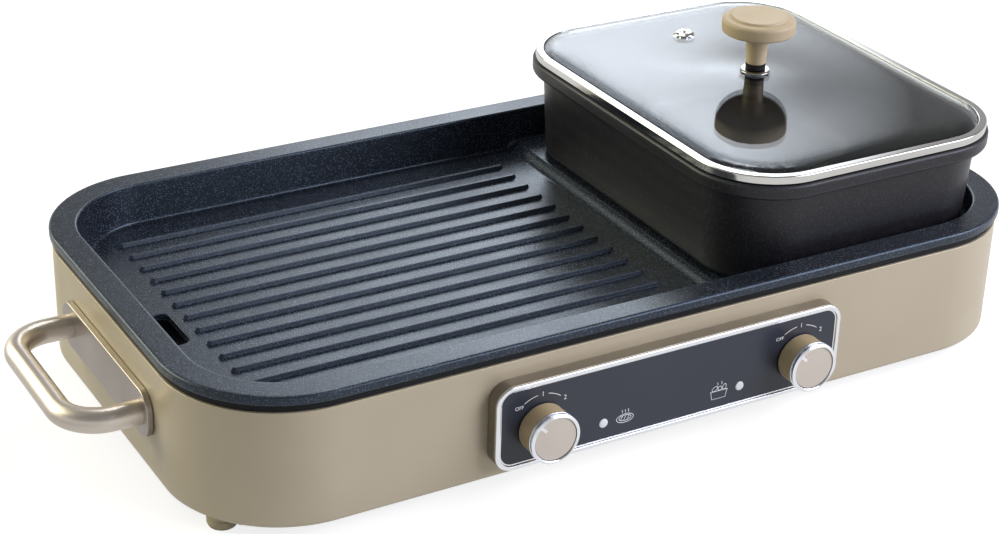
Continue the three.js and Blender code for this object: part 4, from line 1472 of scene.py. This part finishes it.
@dataclass
class TurnKnob:
    """One turning knob: barrel, grooved bright ring, crowned cap and its pointer.

    pointer holds its width, its length and how far it stands out.
    """

    end: str
    across: float
    drop: float
    barrel: Point = (10.2, 23.3)
    radius: float = 15.9
    ring_radius: float = 16.6
    front: float = 27.8
    sink: float = 0.8
    bore: float = 3.0
    bore_floor: float = 3.0
    cap_radius: float = 14.0
    pointer: Trio = (1.9, 4.7, 0.08)

    def build(self) -> None:
        """Builds and dresses every piece."""
        place = PANEL_PLACE @ shifted(self.across, -self.drop)
        body = f"knob_{self.end}"
        low, high = self.barrel
        bore, deep = self.bore, self.barrel[1] - self.bore_floor
        radius, front, cap_radius = self.radius, self.front, self.cap_radius
        back = high + GAP
        outer = self.ring_radius
        inner = cap_radius + GAP
        groove = outer - 1.3
        top = front - self.sink
        profiles = {
            "barrel": [
                (0, deep, 0), (bore, deep, 0), (bore, low, 0.2), (radius - 0.6, low, 0.3),
                (radius, low + 0.8, 0.4), (radius, high, 0.4), (0, high, 0),
            ],
            "ring": [
                (inner, back, 0.2), (outer, back, 0.3), (outer, back + 0.9, 0.3), (groove, back + 1.0, 0.1),
                (groove, back + 2.0, 0.1), (outer, back + 2.1, 0.25), (outer, front - 0.8, 0.4),
                (outer - 1.5, front, 0.5), (inner + 0.5, front, 0.2), (inner, front - 0.5, 0.2),
            ],
            "cap": [
                (0, back, 0), (cap_radius, back, 0.2), (cap_radius, top - 0.1, 0.3), (0, top, 0),
            ],
        }
        for (name, profile), finish in zip(profiles.items(), (KNOB_SIDE, CHROME, KNOB_FACE)):
            bm = turned(profile, sides=96, closed=name == "ring")
            dressed(f"{body}_{name}_skin", bm, finish, body, f"{body}_{name}", place=place)
        width, length, proud = self.pointer
        bar = block(
            (-width / 2, cap_radius - length, top - 0.5), (width / 2, cap_radius + 0.1, top + proud), 0.06,
        )
        towards_off = place @ spun(45, "Z")
        dressed(f"{body}_pointer", bar, INK, body, place=towards_off)


def dress_stock() -> None:
    """Covers every CAD node with the finish of its slot."""
    for row in frame["record"]["subparts"]:
        data = frame["nodes"][row["node"]].data
        data.materials.clear()
        data.materials.append(STOCK_FINISHES[row["material_slot"]].build())
    log.info("finishes on %d nodes", len(frame["nodes"]))


@dataclass
class Studio:
    """The floor, the lamps, the world and the camera, in metres and degrees.

    dim_left and dim_zenith hold where a mirrored glow starts and ends its change, and its strength there.
    floor_share holds the floor's grey where light is gathered, in mirrors, and for the camera.
    """

    camera_place: Trio = (-0.6821, -1.10895, 0.7120)
    azimuth: float = -30.33
    pitch: float = 26.77
    roll: float = 1.70
    focal: float = 78.994
    sensor: float = 36.0
    floor_size: float = 6.0
    glow: float = 0.8
    ambient: float = 0.18
    dim_left: Trio = (-0.55, -0.2, 0.35)
    dim_zenith: tuple[float, float, float, float] = (0.02, 0.5, 1.0, 0.25)
    floor_share: Trio = (0.5, 0.15, 0.4)
    cool: Trio = (0.95, 0.95, 1.08)
    cooler: Trio = (0.95, 1.0, 1.08)
    warm: Trio = (1.0, 0.96, 0.72)

    def build(self) -> None:
        """Sets the whole stage."""
        self.camera()
        self.floor()
        self.world()
        middle = (0, 0, 0.08)
        self.lamp("back_sheet", (1.075, 1.75, 1.16), (0.1, 0, 0.1), (1.25, 1.2), 4.2, self.cooler, fade=0.3)
        self.lamp("front_key", (1.7, -1.6, 1.3), middle, (2.2, 1.8), 5.5, self.cool)
        self.lamp("left_fill", (-1.6, 1.5, 1.1), middle, (2.0, 1.6), 4.3, self.warm)
        self.lamp("high_back", (0.5, 1.0, 2.0), middle, (0.6, 0.5), 9.0)

    def camera(self) -> None:
        """Stands the camera where the photograph was taken from."""
        data = bpy.data.cameras.new("camera")
        data.sensor_width = self.sensor
        data.lens = self.focal
        data.clip_start = 0.05
        thing = bpy.data.objects.new("camera", data)
        thing.matrix_world = (
            shifted(*self.camera_place) @ spun(self.azimuth, "Z") @ spun(90 - self.pitch, "X")
            @ spun(self.roll, "Z")
        )
        bpy.context.scene.collection.objects.link(thing)
        bpy.context.scene.camera = thing

    @staticmethod
    def levels(bench: Bench, gathered: Wire, mirrored: Wire, looked_at: Wire) -> Socket:
        """One value for each use of a surface's light.

        Args:
            bench: the bench on the tree.
            gathered: the value where light is only gathered.
            mirrored: the value in mirrors and through glass.
            looked_at: the value for the camera.

        Returns:
            The value that counts.
        """
        path = bench.add("LightPath").outputs
        shine = bench.math("MAXIMUM", path["Is Glossy Ray"], path["Is Transmission Ray"])
        return bench.pick(path["Is Camera Ray"], bench.pick(shine, gathered, mirrored), looked_at)

    def floor(self) -> None:
        """A pale floor that keeps the object's shadow."""
        bm = bmesh.new()
        bmesh.ops.create_grid(bm, x_segments=1, y_segments=1, size=self.floor_size)
        thing = loose_object("floor", bm)
        material = bpy.data.materials.new("pale_floor")
        bench = Bench(material)
        mirrored = bench.between(bench.axes(bench.place())[0], *self.dim_left, self.glow)
        shader = bench.add("BsdfPrincipled", {
            "Base Color": self.levels(bench, *self.floor_share),
            "Roughness": 0.9,
            "Specular IOR Level": 0.0,
            "Emission Color": WHITE,
            "Emission Strength": self.levels(bench, 0.0, mirrored, self.glow),
        })
        bench.add("OutputMaterial", {"Surface": shader.outputs[0]})
        thing.data.materials.append(material)

    def world(self) -> None:
        """White where the background is looked at, with a dimmer zenith, and soft light elsewhere."""
        world = bpy.data.worlds.new("studio")
        bpy.context.scene.world = world
        bench = Bench(world)
        rise = bench.axes(bench.add("TexCoord").outputs["Generated"])[2]
        level = self.levels(bench, self.ambient, bench.between(rise, *self.dim_zenith), 1.0)
        light = bench.add("Background", {"Color": WHITE, "Strength": level})
        bench.add("OutputWorld", {"Surface": light.outputs[0]})

    @staticmethod
    def lamp(
        name: str, at: Trio, target: Trio, size: Point, radiance: float, tint: Trio = (1.0, 1.0, 1.0),
        fade: float = 0.0,
    ) -> None:
        """A softbox that faces a point.

        Args:
            name: the lamp's name.
            at: where it stands.
            target: the point that it faces.
            size: its width and height.
            radiance: how bright it looks, where 1 is white.
            tint: the colour of its light.
            fade: the share of its width and height over which it dims towards each edge.
        """
        data = bpy.data.lights.new(name, "AREA")
        data.shape = "RECTANGLE"
        data.size, data.size_y = size
        data.energy = radiance * math.pi * size[0] * size[1]
        data.color = tint
        if fade:
            bench = Bench(data)
            spot = bench.axes(bench.add("NewGeometry").outputs["Parametric"])
            levels = []
            for axis in (0, 1):
                from_middle = bench.math("ABSOLUTE", bench.math("SUBTRACT", spot[axis], 0.5))
                levels.append(bench.between(from_middle, 0.5 - fade, 0.5, 1.0, 0.0))
            light = bench.add("Emission", {"Strength": bench.math("MULTIPLY", *levels)})
            bench.add("OutputLight", {"Surface": light.outputs[0]})
        thing = bpy.data.objects.new(name, data)
        thing.location = at
        thing.rotation_euler = (Vector(at) - Vector(target)).to_track_quat("Z", "Y").to_euler()
        bpy.context.scene.collection.objects.link(thing)


def main() -> None:
    """Builds the scene, from the stage to the last mark."""
    logging.basicConfig(level=logging.INFO, format="%(name)s %(message)s")
    bpy.context.scene.view_settings.view_transform = "Standard"
    Studio().build()
    dress_stock()
    for piece in (Base, HeatUnit, GrillPlate, HotPot, Lid):
        piece().build()
    for end, sign in ENDS:
        EndHandle(end, sign).build()
    panel = ControlPanel()
    panel.build()
    Printing(panel).build()
    for end, sign in ENDS:
        TurnKnob(end, sign * panel.knob_spread, panel.knob_drop).build()


if __name__ == "__main__":
    main()
